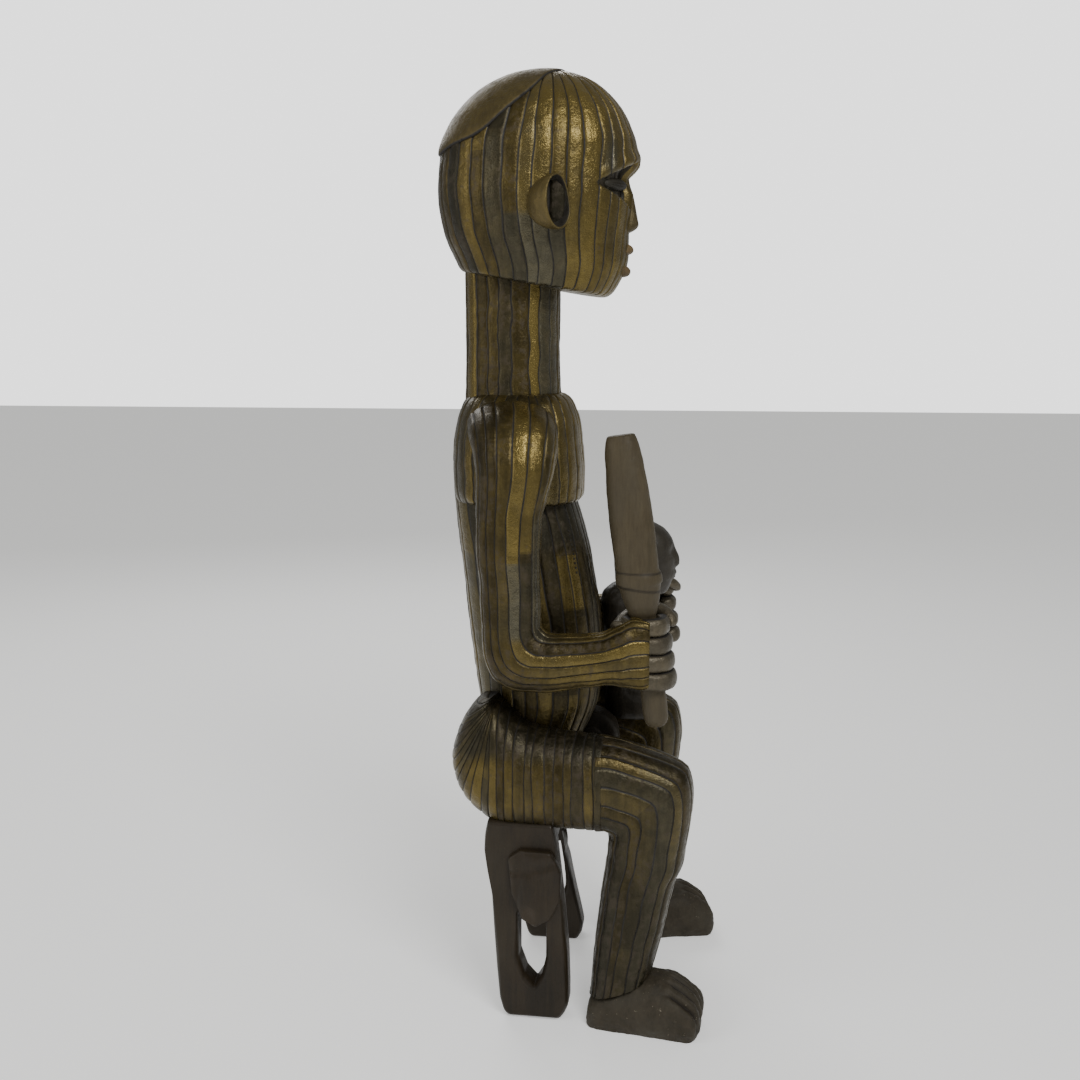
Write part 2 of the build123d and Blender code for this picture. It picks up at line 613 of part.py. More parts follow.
# --- Stool -------------------------------------------------------------------------------------------
def build_stool(nodes, tools):
    """A block under the buttocks on two upright panels, an arch between them and a pointed hole in each."""
    lift = SEAT_HEIGHT / 212.0
    near = [
        (-41.6, 226), (-45, 208), (-46, 190), (-43, 168), (-38, 140), (-36, 100), (-33, 54), (-30, 20),
        (-25.5, 5), (-21, 0), (36, 0), (41, 7), (45.2, 17), (45.2, 38), (44, 75), (38.5, 136), (33, 182), (28, 226),
    ]
    far = [
        (-41.6, 226), (-46, 190), (-38, 140), (-33, 54), (-30, 20), (-25.5, 5), (-21, 0), (35, 0), (41, 10),
        (42.3, 18), (38.4, 37), (32, 66), (24.4, 103), (14, 135), (8, 170), (6, 226),
    ]
    hole = [(8.4, 38), (16, 50), (20.5, 70), (21, 118), (17, 126), (-5, 126), (-9, 118), (-9, 70), (-2, 50)]
    half = STOOL_SPREAD / 2
    panels = []
    for outline, start in ((near, -half), (far, half - STOOL_PANEL)):
        points = [(x, z * lift) for x, z in outline]
        panels.append(prism(points, start, STOOL_PANEL))
    seat = [(x, z * lift) for x, z in [(-45, 150), (-44, 226), (26, 226), (30, 150)]]
    top = prism(seat, -half + STOOL_PANEL, STOOL_SPREAD - 2 * STOOL_PANEL)
    block = panels[0] + panels[1] + top
    arch = Pos(-6.0, 0, 150 * lift) * Rot(0, 90, 0) * Cylinder(30.0, 120.0)
    opening = prism([(x, z * lift) for x, z in hole], -half - 5, STOOL_SPREAD + 10)
    carved_block = block - [arch, opening]
    nodes["stool"] = [max(minus(carved_block.solids(), tools), key=lambda solid: solid.volume)]
    for side, name in ((-1, "stool_right_boss"), (1, "stool_left_boss")):
        shape = [
            (-18.5, 186), (-6, 194), (27, 194), (38, 166), (36, 134), (25, 118), (11, 111), (-4, 120), (-15, 150),
        ]
        start = -half - 12 if side < 0 else half
        boss = prism([(x if side < 0 else x - 14, z * lift) for x, z in shape], start, 12.0)
        nodes[name] = minus(boss.solids(), tools)[:1]


def prism(points, start, width):
    """An outline of the XZ plane carried along Y from a start, its edges eased."""
    face = Plane.XZ.offset(-start) * make_face(Polyline(*points, close=True).edges())
    return extrude(face, amount=-width).solid()


# --- Child -------------------------------------------------------------------------------------------
CHILD_Y = 47.0
CHILD_SEAT = HIP + 2.0
CHILD_HEIGHT = 140.0       # seat to the base of the head
CHILD_SINK = 14.0          # how far the body reaches below its seat, to be cut by the thigh


def build_child(nodes, tools):
    rows = [
        (0.0, 72.0, 132.0, 24.0), (0.12, 70.0, 138.0, 28.0), (0.3, 70.0, 130.0, 27.0), (0.6, 68.0, 120.0, 25.0),
        (0.86, 64.0, 117.0, 26.0), (0.96, 66.0, 112.0, 22.0), (1.0, 76.0, 108.0, 14.0),
    ]
    low = CHILD_SEAT - CHILD_SINK
    tall = CHILD_HEIGHT + CHILD_SINK
    places = [level(low + share * tall, back, front, half, CHILD_Y) for share, back, front, half in rows]
    body = carved(places, 20)
    nodes["child_body"] = [max(minus([body], tools), key=lambda solid: solid.volume)]
    crown = CHILD_SEAT + CHILD_HEIGHT
    rows = [
        (-16.0, 88.0, 138.0, 14.0), (-8.0, 84.0, 143.0, 20.0), (10.0, 80.0, 147.0, 26.0), (30.0, 78.0, 148.0, 29.0),
        (48.0, 80.0, 146.0, 29.0), (60.0, 85.0, 139.0, 24.0), (68.0, 94.0, 129.0, 16.0), (72.0, 104.0, 119.0, 7.0),
    ]
    head = carved([level(crown + rise, back, front, half, CHILD_Y) for rise, back, front, half in rows], 20)
    nodes["child_head"] = minus([head], [nodes["child_body"][0]])[:1]


# --- Nails -------------------------------------------------------------------------------------------
def nail(place, number, count):
    """A nail through the middle of a strip, square to its flat, with a low round head on the metal."""
    outline = corners(place, count, SKIN)
    a, b = outline[number], outline[(number + 1) % count]
    middle = (a + b) / 2
    outward = (middle - place[0]).normalized()
    seat = Plane(origin=middle, z_dir=outward)
    head = Pos(0, 0, NAIL_RISE / 2) * Cylinder(NAIL_HEAD, NAIL_RISE)
    shank = Pos(0, 0, -NAIL_LENGTH / 2) * Cylinder(NAIL_SHANK, NAIL_LENGTH)
    return (seat.location * (head + shank)).solid()


def build_nails(nodes):
    nails = []
    belly = belly_places()
    for step in range(10):
        share = 0.49 + 0.017 * step
        back, front, half = interpolate(BELLY_SHAPE, share)[1:]
        place = scaled([(share, back, front, half)], HIP, TORSO_HEIGHT, TORSO_DEPTH, BELLY_WIDTH, 2.5)[0]
        for number in (TORSO_STRIPS - 5, 3):
            nails.append(nail(place, number, TORSO_STRIPS))
    for number in range(NECK_STRIPS):
        nails.append(nail(between(neck_places()[0], neck_places()[1], 0.06), number, NECK_STRIPS))
    for side in (-1, 1):
        wrist = arm_places(side)[-3:-1]
        for number in range(ARM_STRIPS):
            nails.append(nail(between(wrist[0], wrist[1], 0.85), number, ARM_STRIPS))
    nodes["nails"] = nails


# --- The whole figure ----------------------------------------------------------------------------------
def build():
    nodes = {}
    torso = torso_tool()
    legs = [leg_shell(leg, SKIN + CLEAR) for leg in LEGS]
    build_head(nodes)
    build_neck(nodes)
    build_torso(nodes, legs)
    for leg in LEGS:
        build_arm(nodes, leg.side, leg.name)
        build_hand(nodes, leg.side, leg.name)
        build_leg(nodes, leg, torso)
        build_foot(nodes, leg)
    build_club(nodes)
    build_hips(nodes, legs + [torso])
    build_stool(nodes, legs + nodes["hip_core"])
    build_child(nodes, legs + [torso] + nodes["lap_boss"])
    build_nails(nodes)
    return nodes


def write(nodes):
    """Each node to its own file, with the floor under the middle of the figure at the origin."""
    os.makedirs("parts", exist_ok=True)
    boxes = [solid.bounding_box() for solids in nodes.values() for solid in solids]
    middle_x = (min(box.min.X for box in boxes) + max(box.max.X for box in boxes)) / 2
    middle_y = (min(box.min.Y for box in boxes) + max(box.max.Y for box in boxes)) / 2
    floor = min(box.min.Z for box in boxes)
    shift = Pos(-middle_x, -middle_y, -floor)
    for name, solids in nodes.items():
        moved = [shift * solid for solid in solids]
        export_step(moved[0] if len(moved) == 1 else Compound(moved), f"parts/{name}.step")


write(build())
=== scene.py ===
from math import cos, pi, radians, sin

import bpy
import numpy as np
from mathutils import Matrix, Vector


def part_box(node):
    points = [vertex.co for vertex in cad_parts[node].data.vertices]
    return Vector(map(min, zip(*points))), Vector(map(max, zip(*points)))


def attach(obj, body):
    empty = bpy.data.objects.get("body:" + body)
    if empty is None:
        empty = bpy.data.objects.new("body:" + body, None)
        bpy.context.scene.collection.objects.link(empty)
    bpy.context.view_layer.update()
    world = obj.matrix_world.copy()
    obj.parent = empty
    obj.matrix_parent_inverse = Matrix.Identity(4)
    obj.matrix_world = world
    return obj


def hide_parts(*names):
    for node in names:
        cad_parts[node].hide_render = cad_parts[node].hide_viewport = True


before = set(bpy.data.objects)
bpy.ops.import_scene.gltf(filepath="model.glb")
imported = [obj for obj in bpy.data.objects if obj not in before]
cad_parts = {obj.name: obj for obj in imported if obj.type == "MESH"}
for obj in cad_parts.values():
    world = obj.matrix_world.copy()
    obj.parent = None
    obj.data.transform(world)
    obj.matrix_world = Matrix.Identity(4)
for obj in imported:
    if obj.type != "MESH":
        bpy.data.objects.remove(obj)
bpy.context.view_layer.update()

# Shapes are worked out in millimetres from the arm axis and the middle plane, and set down on the frame.
neck_low, neck_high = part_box("neck_core")
head_low, head_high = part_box("head_core")
NECK_MIDDLE = -29.3
AXIS_X = (neck_low[0] + neck_high[0]) / 2 - NECK_MIDDLE / 1000
AXIS_Y = (head_low[1] + head_high[1]) / 2
ROOT = "root"


# --- Numbers on arrays ----------------------------------------------------------------------------
def smooth(low, high, value):
    """0 below low, 1 above high, an S-curve between."""
    share = np.clip((value - low) / (high - low), 0, 1)
    return share * share * (3 - 2 * share)


def bump(value, middle, reach):
    """A bell of height 1 at middle that has mostly gone at reach."""
    return np.exp(-((value - middle) / reach) ** 2)


def lumps(points, size, seed):
    """Value noise from -1 to 1: random corner values of a lattice of cells, blended with S-curves."""
    cell = points / size + seed * 17.31
    corner = np.floor(cell).astype(np.int64)
    part = cell - corner
    part = part * part * (3 - 2 * part)
    total = np.zeros(points.shape[:-1])
    for number in range(8):
        offset = np.array([number >> 2 & 1, number >> 1 & 1, number & 1])
        mixed = (corner + offset) @ np.array([73856093, 19349663, 83492791])
        mixed = (mixed ^ (mixed >> 13)) * 1274126177 & 0x7FFFFFFF
        value = ((mixed ^ (mixed >> 15)) & 0xFFFF) / 32767.5 - 1
        total += value * np.prod(np.where(offset, part, 1 - part), axis=-1)
    return total


def eased(knots, values, where):
    """A smooth curve through values at knots that never swings past them: cubics with harmonic slopes."""
    step = np.diff(knots)[:, None]
    rise = np.diff(values, axis=0) / step
    slope = np.zeros_like(values)
    same = rise[:-1] * rise[1:] > 0
    pair = np.where(same, rise[:-1] + rise[1:], 1)
    slope[1:-1] = np.where(same, 2 * rise[:-1] * rise[1:] / pair, 0)
    slope[0], slope[-1] = rise[0], rise[-1]
    index = np.clip(np.searchsorted(knots, where, side="right") - 1, 0, len(knots) - 2)
    width = step[index]
    part = (where[..., None] - knots[index][..., None]) / width
    part = np.clip(part, 0, 1)
    a, b = values[index], values[index + 1]
    left, right = slope[index] * width, slope[index + 1] * width
    square, cube = part ** 2, part ** 3
    return ((2 * cube - 3 * square + 1) * a + (cube - 2 * square + part) * left
            + (3 * square - 2 * cube) * b + (cube - square) * right)


# --- Stations and sleeves -------------------------------------------------------------------------
def section(start, end, half, y=0.0, power=2.4):
    """A rounded section across two points of the XZ plane at one Y, with its half width along Y."""
    start, end = np.array([start[0], y, start[1]]), np.array([end[0], y, end[1]])
    return np.concatenate([(start + end) / 2, (end - start) / 2, [0, half, 0, power]])


def level(z, start, end, half, y=0.0, power=2.4):
    return section((start, z), (end, z), half, y, power)


def fan(pivot, angle, near, far, half, y=0.0, power=2.4):
    """A section on a ray from a pivot of the XZ plane, from its far end to its near end."""
    ray = np.array([cos(radians(angle)), sin(radians(angle))])
    return section(np.array(pivot) + ray * far, np.array(pivot) + ray * near, half, y, power)


class Sleeve:
    """A tube through stations: each is a middle, an across vector, a width vector and a roundness."""

    def __init__(self, stations):
        self.rows = np.array(stations)
        edge = self.rows[:, :3] - self.rows[:, 3:6]
        outer, inner = (np.linalg.norm(np.diff(line, axis=0), axis=1) for line in (edge, self.rows[:, :3]))
        steps = (outer + inner) / 2
        self.knots = np.concatenate([[0], np.cumsum(steps)])
        self.length = self.knots[-1]

    def at(self, along, turn):
        """Points at distances along and turns round, as arrays: middle + across * cos + width * sin, each
        scaled so that the section is a superellipse."""
        row = eased(self.knots, self.rows, np.clip(along, 0, self.length))
        cosine, sine = np.cos(turn), np.sin(turn)
        power = row[..., 9]
        reach = (np.abs(cosine) ** power + np.abs(sine) ** power) ** (-1 / power)
        across = row[..., 3:6] * (cosine * reach)[..., None]
        return row[..., :3] + across + row[..., 6:9] * (sine * reach)[..., None]

    def outward(self, along, turn):
        """Unit normals from the slopes of the surface in its two directions."""
        down = self.at(along + 0.6, turn) - self.at(along - 0.6, turn)
        round_ = self.at(along, turn + 0.004) - self.at(along, turn - 0.004)
        normal = np.cross(down, round_)
        size = np.linalg.norm(normal, axis=-1, keepdims=True)
        normal = normal / np.maximum(size, 1e-9)
        middle = eased(self.knots, self.rows, np.clip(along, 0, self.length))[..., :3]
        side = np.sign(np.sum(normal * (self.at(along, turn) - middle), axis=-1, keepdims=True))
        return normal * np.where(side == 0, 1, side)


# --- Meshes ---------------------------------------------------------------------------------------
def grid(points, tone=0.5, warmth=0.5, grime_and_shade=0.0, closed=False):
    """A patch: points by row and column, with a tone and warmth for each face and, for each point, a
    darkening that is black deposits in the strips' seams and painted shade in hollows and gaps. Its columns
    close on themselves; its rows do too where closed is true, and have end caps otherwise."""
    rows, columns = points.shape[:2]
    shape = (rows if closed else rows - 1, columns)
    return {"points": points, "tone": np.broadcast_to(tone, shape), "warmth": np.broadcast_to(warmth, shape),
            "grime_and_shade": np.broadcast_to(grime_and_shade, (rows, columns)), "caps": not closed}


def faces_of(patch, base):
    """Quads between neighbouring rows and columns, and a fan of triangles on each closed end."""
    points = patch["points"]
    rows, columns = points.shape[:2]
    i, j = np.meshgrid(np.arange(patch["tone"].shape[0]), np.arange(patch["tone"].shape[1]), indexing="ij")
    i2, j2 = (i + 1) % rows, (j + 1) % columns
    quads = np.stack([i * columns + j, i * columns + j2, i2 * columns + j2, i2 * columns + j], axis=-1)
    faces = (quads.reshape(-1, 4) + base).tolist()
    vertices = points.reshape(-1, 3)
    grime_and_shade = patch["grime_and_shade"].reshape(-1)
    tone, warmth = patch["tone"].reshape(-1), patch["warmth"].reshape(-1)
    if patch["caps"]:
        for row, flip in ((0, True), (rows - 1, False)):
            centre = base + len(vertices)
            vertices = np.vstack([vertices, points[row].mean(axis=0)])
            grime_and_shade = np.append(grime_and_shade, patch["grime_and_shade"][row].mean())
            ring = row * columns + np.arange(columns) + base
            after = np.roll(ring, -1)
            first, second = (after, ring) if flip else (ring, after)
            faces += np.stack([first, second, np.full(columns, centre)], axis=-1).tolist()
            edge = 0 if flip else -1
            tone = np.append(tone, patch["tone"][edge])
            warmth = np.append(warmth, patch["warmth"][edge])
    if enclosed(vertices, faces, base) < 0:
        faces = [face[::-1] for face in faces]
    return vertices, faces, tone, warmth, grime_and_shade


def enclosed(vertices, faces, base):
    """Six times the volume inside the faces, negative when they point inwards."""
    halves = [face[:3] for face in faces] + [[face[0], face[2], face[3]] for face in faces if len(face) == 4]
    corners = np.array(halves) - base
    a, b, c = (vertices[corners[:, k]] - vertices.mean(axis=0) for k in range(3))
    return np.sum(a * np.cross(b, c))


def piece(name, patches, material, replaces, body=ROOT):
    """One object of the figure from its patches, set down on the frame."""
    vertices, faces, tone, warmth, grime_and_shade = [], [], [], [], []
    base = 0
    for patch in patches:
        v, f, t, w, g = faces_of(patch, base)
        vertices.append(v)
        faces += f
        tone.append(t)
        warmth.append(w)
        grime_and_shade.append(g)
        base += len(v)
    vertices = np.vstack(vertices) / 1000 + np.array([AXIS_X, AXIS_Y, 0])
    mesh = bpy.data.meshes.new(name)
    mesh.from_pydata(vertices, [], faces)
    for label, values, domain in (("tone", tone, "FACE"), ("warmth", warmth, "FACE"),
                                  ("grime_and_shade", grime_and_shade, "POINT")):
        layer = mesh.attributes.new(label, "FLOAT", domain)
        layer.data.foreach_set("value", np.concatenate(values).astype(np.float32))
    mesh.polygons.foreach_set("use_smooth", np.ones(len(mesh.polygons), dtype=bool))
    mesh.materials.append(material)
    thing = bpy.data.objects.new(name, mesh)
    bpy.context.collection.objects.link(thing)
    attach(thing, body)
    if replaces:
        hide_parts(*replaces)
    return thing


# --- Strip work -----------------------------------------------------------------------------------
# Where the surface is sampled across one strip, and how deep the seam is there.
ACROSS = np.array([0.0, 0.035, 0.085, 0.2, 0.38, 0.62, 0.8, 0.915, 0.965])
SEAM_FORM = np.array([1.0, 0.75, 0.12, 0.0, 0.0, 0.0, 0.0, 0.12, 0.75])
CROWN_FORM = np.array([-0.6, -0.4, 0.0, 0.55, 1.0, 1.0, 0.55, 0.0, -0.4])
METAL_RISE = 1.4           # strip surface above the wood
STEP = 0.28                # most that one length of metal stands above or below its neighbours
CROWN = 0.22               # how far a strip's middle stands above its edges
RING_SAMPLES = 168         # points round a limb that rings cross
LIMB_RADIUS = 35.0         # a limb's middling radius, for cutting its rings into lengths


def seam_lines(count, samples, spread, wander, seed):
    """Where each seam runs, in strips: its number, moved once at random, and a slow wander along it."""
    rng = np.random.default_rng(seed)
    still = np.arange(count) + rng.uniform(-spread, spread, count)
    phase, pace = rng.uniform(0, 2 * pi, (2, count)), rng.uniform(0.7, 1.6, (2, count))
    share = np.linspace(0, 1, samples)[:, None]
    slow = np.sin(2 * pi * pace[0] * 2 * share + phase[0])
    quick = np.sin(2 * pi * pace[1] * 5 * share + phase[1])
    return still + wander * (slow + 0.6 * quick)


def patches_along(count, distances, longest, rng):
    """A random number for the length of metal that each strip has at each distance, from cut to cut."""
    table = np.zeros((len(distances) - 1, count), dtype=int)
    for number in range(count):
        start = -rng.uniform(0, longest)
        cuts = start + np.cumsum(rng.uniform(0.35, 1.0, 60) * longest)
        table[:, number] = np.searchsorted(cuts, (distances[1:] + distances[:-1]) / 2)
    return table


def palette(count, rows_of_patch, rng, gold, grey):
    """Tone and warmth of each length of metal: mostly brown-gold, some bright, some pewter."""
    shape = (rows_of_patch.max() + 1, count)
    own = rng.normal(0, 1, (2, 1, count))
    tone = np.clip(0.41 + 0.11 * own[0] + rng.normal(0, 0.05, shape), 0.05, 0.95)
    warmth = np.clip(0.74 + 0.10 * own[1] + rng.normal(0, 0.05, shape), 0, 1)
    bright = rng.uniform(size=(1, count)) < gold * 0.5
    dull = rng.uniform(size=(1, count)) < grey * 0.6
    tone = np.where(bright, tone + 0.2, tone)
    warmth = np.where(bright, rng.uniform(0.75, 0.95, shape), warmth)
    warmth = np.where(dull & ~bright, rng.uniform(0.25, 0.5, shape), warmth)
    columns = np.arange(count)[None, :]
    return tone[rows_of_patch, columns], warmth[rows_of_patch, columns]


def hammered(points, seed, strength=1.0):
    """Hammer dents and crumpled sheet: wide soft lumps, thumb-sized dents and fine creases, in mm."""
    wide = lumps(points, 26.0, seed) * 0.45
    dents = np.minimum(lumps(points, 9.0, seed + 1), 0.25) * 0.42
    creases = (0.5 - np.abs(lumps(points * np.array([1, 1, 0.55]), 5.0, seed + 2))) * 0.22
    return strength * (wide + dents + creases)


def across_strips(lines):
    """Places over every strip at each sample, each a share of the way from one line to the next."""
    return (lines[:, :-1, None] * (1 - ACROSS) + lines[:, 1:, None] * ACROSS).reshape(len(lines), -1)


def lengthwise(sleeve, count, seed, spread, wander, pitch):
    """Strips along a sleeve: distances along it, turns round it, and where along it metal can be cut."""
    cuts = np.linspace(0, sleeve.length, int(sleeve.length / pitch) + 2)
    lines = seam_lines(count, len(cuts), spread, wander, seed)
    lines = np.concatenate([lines, lines[:, :1] + count], axis=1)
    turn = across_strips(lines) / count * 2 * pi
    return np.broadcast_to(cuts[:, None], turn.shape), turn, cuts


def ringwise(sleeve, count, seed, spread, wander, rng):
    """Strips round a sleeve, given in the same way: level rings that sway a little as they go round."""
    turn = np.linspace(0, 2 * pi, RING_SAMPLES, endpoint=False)
    lines = seam_lines(count + 1, RING_SAMPLES, spread, 0.0, seed)
    slow = np.sin(turn[:, None] * 2 + rng.uniform(0, 6.3, count + 1))
    quick = np.sin(turn[:, None] * 5 + rng.uniform(0, 6.3, count + 1))
    lines = np.clip(lines + wander * (slow + 0.6 * quick), 0, count)
    lines[:, 0], lines[:, -1] = 0, count
    strip = np.concatenate([across_strips(lines), lines[:, -1:]], axis=1).T
    cuts = np.arange(RING_SAMPLES + 1) * 2 * pi * LIMB_RADIUS / RING_SAMPLES
    return strip / count * sleeve.length, np.broadcast_to(turn[None, :], strip.shape), cuts


def strip_skin(sleeve, count, seed, across_limb=False, spread=0.16, wander=0.05, longest=150.0, gold=0.12,
               grey=0.2, dents=1.0, shape=None, paint=None, pitch=2.6, seam=1.15):
    """Metal strips over a sleeve, lengthwise or as rings across the limb.
    A point is the sleeve's point plus its outward direction times (rise - seam + crown + step + dents)."""
    rng = np.random.default_rng(seed)
    if across_limb:
        along, turn, cuts = ringwise(sleeve, count, seed, spread, wander, rng)
    else:
        along, turn, cuts = lengthwise(sleeve, count, seed, spread, wander, pitch)
    number = np.repeat(np.arange(count), len(ACROSS))
    which = patches_along(count, cuts, longest, rng)
    tone, warmth = (values[:, number] for values in palette(count, which, rng, gold, grey))
    step = np.random.default_rng(seed + 5).uniform(-STEP, STEP, (which.max() + 1, count))
    lift = step[which[:, number], number]
    form, crown = np.tile(SEAM_FORM, count)[None, :], np.tile(CROWN_FORM, count)[None, :]
    if across_limb:
        tone, warmth = tone.T, warmth.T
        form, crown = np.append(form, 1.0)[:, None], np.append(crown, 0.0)[:, None]
        lift = np.concatenate([lift, lift[:, -1:]], axis=1).T
        between = (lift[:, :-1] + lift[:, 1:]) / 2
        lift = np.concatenate([lift[:, :1], between], axis=1)
    else:
        lift = np.concatenate([lift[:1], lift], axis=0)
    points, outward = sleeve.at(along, turn), sleeve.outward(along, turn)
    fade = 1 - form
    rise = METAL_RISE - seam * form + CROWN * crown + fade * lift
    rise = rise + hammered(points, seed, dents) * (0.35 + 0.65 * fade)
    moved = points + outward * rise[..., None]
    grime_and_shade = np.broadcast_to(np.clip(form, 0, 1), rise.shape)
    if shape is not None:
        moved = shape(moved, outward)
    patch = grid(moved, tone, warmth, grime_and_shade)
    if paint is not None:
        middle = (moved[:-1] + moved[1:]) / 2
        middle = (middle + np.roll(middle, -1, axis=1)) / 2
        patch["tone"], patch["warmth"] = paint(middle, number, tone, warmth)
    return patch


def by_strip(values, number, rows=slice(None)):
    """One value for each strip, the median of its values over some rows, laid out over its columns."""
    column = np.median(values[rows], axis=0)
    each = np.array([column[number == k].mean() for k in range(number.max() + 1)])
    return each[number][None, :]


# --- Materials ------------------------------------------------------------------------------------
class Value:
    """A number or colour flowing through a material's nodes; arithmetic on it adds Math nodes."""

    def __init__(self, maker, socket):
        self.maker, self.socket = maker, socket

    def maths(self, operation, first, second=None):
        inputs = {0: first} if second is None else {0: first, 1: second}
        return self.maker.add("ShaderNodeMath", {"operation": operation}, inputs)

    def __add__(self, other):
        return self.maths("ADD", self, other)

    def __radd__(self, other):
        return self.maths("ADD", other, self)

    def __sub__(self, other):
        return self.maths("SUBTRACT", self, other)

    def __rsub__(self, other):
        return self.maths("SUBTRACT", other, self)

    def __mul__(self, other):
        return self.maths("MULTIPLY", self, other)

    def __rmul__(self, other):
        return self.maths("MULTIPLY", other, self)


class Maker:
    """Builds a material: add() makes a node from its type, its settings and its sockets' values or links."""

    def __init__(self, name):
        self.material = bpy.data.materials.new(name)
        self.material.use_nodes = True
        self.tree = self.material.node_tree
        self.tree.nodes.clear()
        self.object = self.add("ShaderNodeTexCoord", {}, {}, "Object")

    def add(self, kind, settings=None, inputs=None, output=0):
        node = self.tree.nodes.new(kind)
        for key, value in (settings or {}).items():
            setattr(node, key, value)
        for key, value in (inputs or {}).items():
            if isinstance(value, Value):
                self.tree.links.new(value.socket, node.inputs[key])
            else:
                node.inputs[key].default_value = value
        return Value(self, node.outputs[output])

    def noise(self, scale, detail=4.0, rough=0.55, stretch=(1, 1, 1), distortion=0.0):
        place = self.add("ShaderNodeMapping", {}, {"Vector": self.object, "Scale": stretch})
        return self.add("ShaderNodeTexNoise", {}, {"Vector": place, "Scale": scale, "Detail": detail,
                                                   "Roughness": rough, "Distortion": distortion})

    def ramp(self, value, low, high):
        """0 at low and 1 at high, with soft ends."""
        return self.add("ShaderNodeMapRange", {"interpolation_type": "SMOOTHSTEP"},
                        {0: value, 1: low, 2: high, 3: 0.0, 4: 1.0})

    def mix(self, share, first, second):
        first, second = (value if isinstance(value, Value) else (*value, 1.0) for value in (first, second))
        return self.add("ShaderNodeMix", {"data_type": "RGBA"}, {0: share, 6: first, 7: second}, 2)

    def attribute(self, name):
        return self.add("ShaderNodeAttribute", {"attribute_name": name}, {}, "Fac")

    def finish(self, colour, roughness, height, metallic=0.0, strength=0.4, distance=0.001, coat=0.0,
               specular=0.5):
        bumps = {"Strength": strength, "Distance": distance, "Height": height}
        normal = self.add("ShaderNodeBump", {}, bumps)
        inputs = {"Base Color": colour, "Roughness": roughness, "Metallic": metallic, "Coat Weight": coat,
                  "Specular IOR Level": specular, "Normal": normal}
        self.add_output(self.add("ShaderNodeBsdfPrincipled", {}, inputs))
        return self.material

    def add_output(self, shader):
        node = self.tree.nodes.new("ShaderNodeOutputMaterial")
        self.tree.links.new(shader.socket, node.inputs["Surface"])


def sheet_metal(name, dark, gold, steel, pewter, base_rough=0.42, metallic=0.8, sparkle=1.0):
    """Tarnished sheet brass. Each length of metal has its own tone and warmth; brown tarnish lies in clouds,
    black deposits in the seams, and fine scratches run all over."""
    maker = Maker(name)
    tone, warmth, grime_and_shade = maker.attribute("tone"), maker.attribute("warmth"), maker.attribute("grime_and_shade")
    clouds = maker.noise(38.0, 5.0, 0.6)
    mottle = maker.noise(150.0, 4.0, 0.6)
    fine = maker.noise(700.0, 3.0, 0.6)
    streak = maker.noise(220.0, 3.0, 0.5, (1.0, 1.0, 0.12))
    shade = maker.ramp(tone + (clouds - 0.5) * 0.55 + (streak - 0.5) * 0.35, 0.0, 1.0)
    hue = maker.ramp(warmth + (clouds - 0.5) * 0.5 + (mottle - 0.5) * 0.3, 0.1, 0.85)
    cool = maker.mix(shade, steel, pewter)
    warm = maker.mix(shade, dark, gold)
    metal = maker.mix(hue, cool, warm)
    tarnish = maker.ramp(mottle + (clouds - 0.5) * 0.8 - shade * 0.25, 0.42, 0.68)
    stained = maker.mix(tarnish * 0.6, metal, (0.035, 0.024, 0.012))
    # Darkening by each point's value: black deposits in the strips' seams and on the nail heads, and painted
    # shade inside the ears, along the fingers' edges and at the cap's turned-in rim.
    darkened = maker.mix(maker.ramp(grime_and_shade + (mottle - 0.5) * 0.5, 0.28, 0.8), stained, (0.008, 0.006, 0.004))
    rough = base_rough + tarnish * 0.22 - shade * 0.12 + (fine - 0.5) * 0.18 + grime_and_shade * 0.3
    height = mottle * 0.6 + fine * 0.25 + streak * 0.3 + clouds * 0.5
    shine = metallic * (1.0 - 0.45 * tarnish) * (1.0 - maker.ramp(grime_and_shade, 0.2, 0.8) * 0.9)
    return maker.finish(darkened, rough, height, shine, strength=0.85 * sparkle, distance=0.0016)


def carved_wood(name, dark, light, grain=(1, 1, 0.12), base_rough=0.55, specks=0.0, grey=0.0, coat=0.0):
    """Bare handled wood: long grain, and pale chips where asked."""
    maker = Maker(name)
    long_grain = maker.noise(60.0, 6.0, 0.6, grain, 0.4)
    fibre = maker.noise(420.0, 4.0, 0.6, grain, 0.2)
    clouds = maker.noise(14.0, 4.0, 0.5)
    pits = maker.noise(240.0, 3.0, 0.7)
    grime_and_shade, tone = maker.attribute("grime_and_shade"), maker.attribute("tone")
    shade = maker.ramp(long_grain * 0.5 + fibre * 0.25 + clouds * 0.45 + (tone - 0.5) * 0.8, 0.3, 0.85)
    wood = maker.mix(shade, dark, light)
    cool = maker.mix(maker.ramp(clouds, 0.45, 0.7) * grey, wood, (0.040, 0.037, 0.027))
    worn = maker.mix(maker.ramp(pits, 0.66, 0.74) * specks, cool, (0.20, 0.175, 0.13))
    # Darkening by each point's value: painted shade at the club's collar, in the toe grooves and round the
    # stool's holes.
    darkened = maker.mix(maker.ramp(grime_and_shade, 0.25, 0.9) * 0.85, worn, (0.012, 0.009, 0.006))
    rough = base_rough + (fibre - 0.5) * 0.2 + maker.ramp(pits, 0.5, 0.75) * 0.15
    height = long_grain * 0.6 + fibre * 0.5 + pits * 0.25
    return maker.finish(darkened, rough, height, strength=0.6, distance=0.0012, coat=coat, specular=0.22)


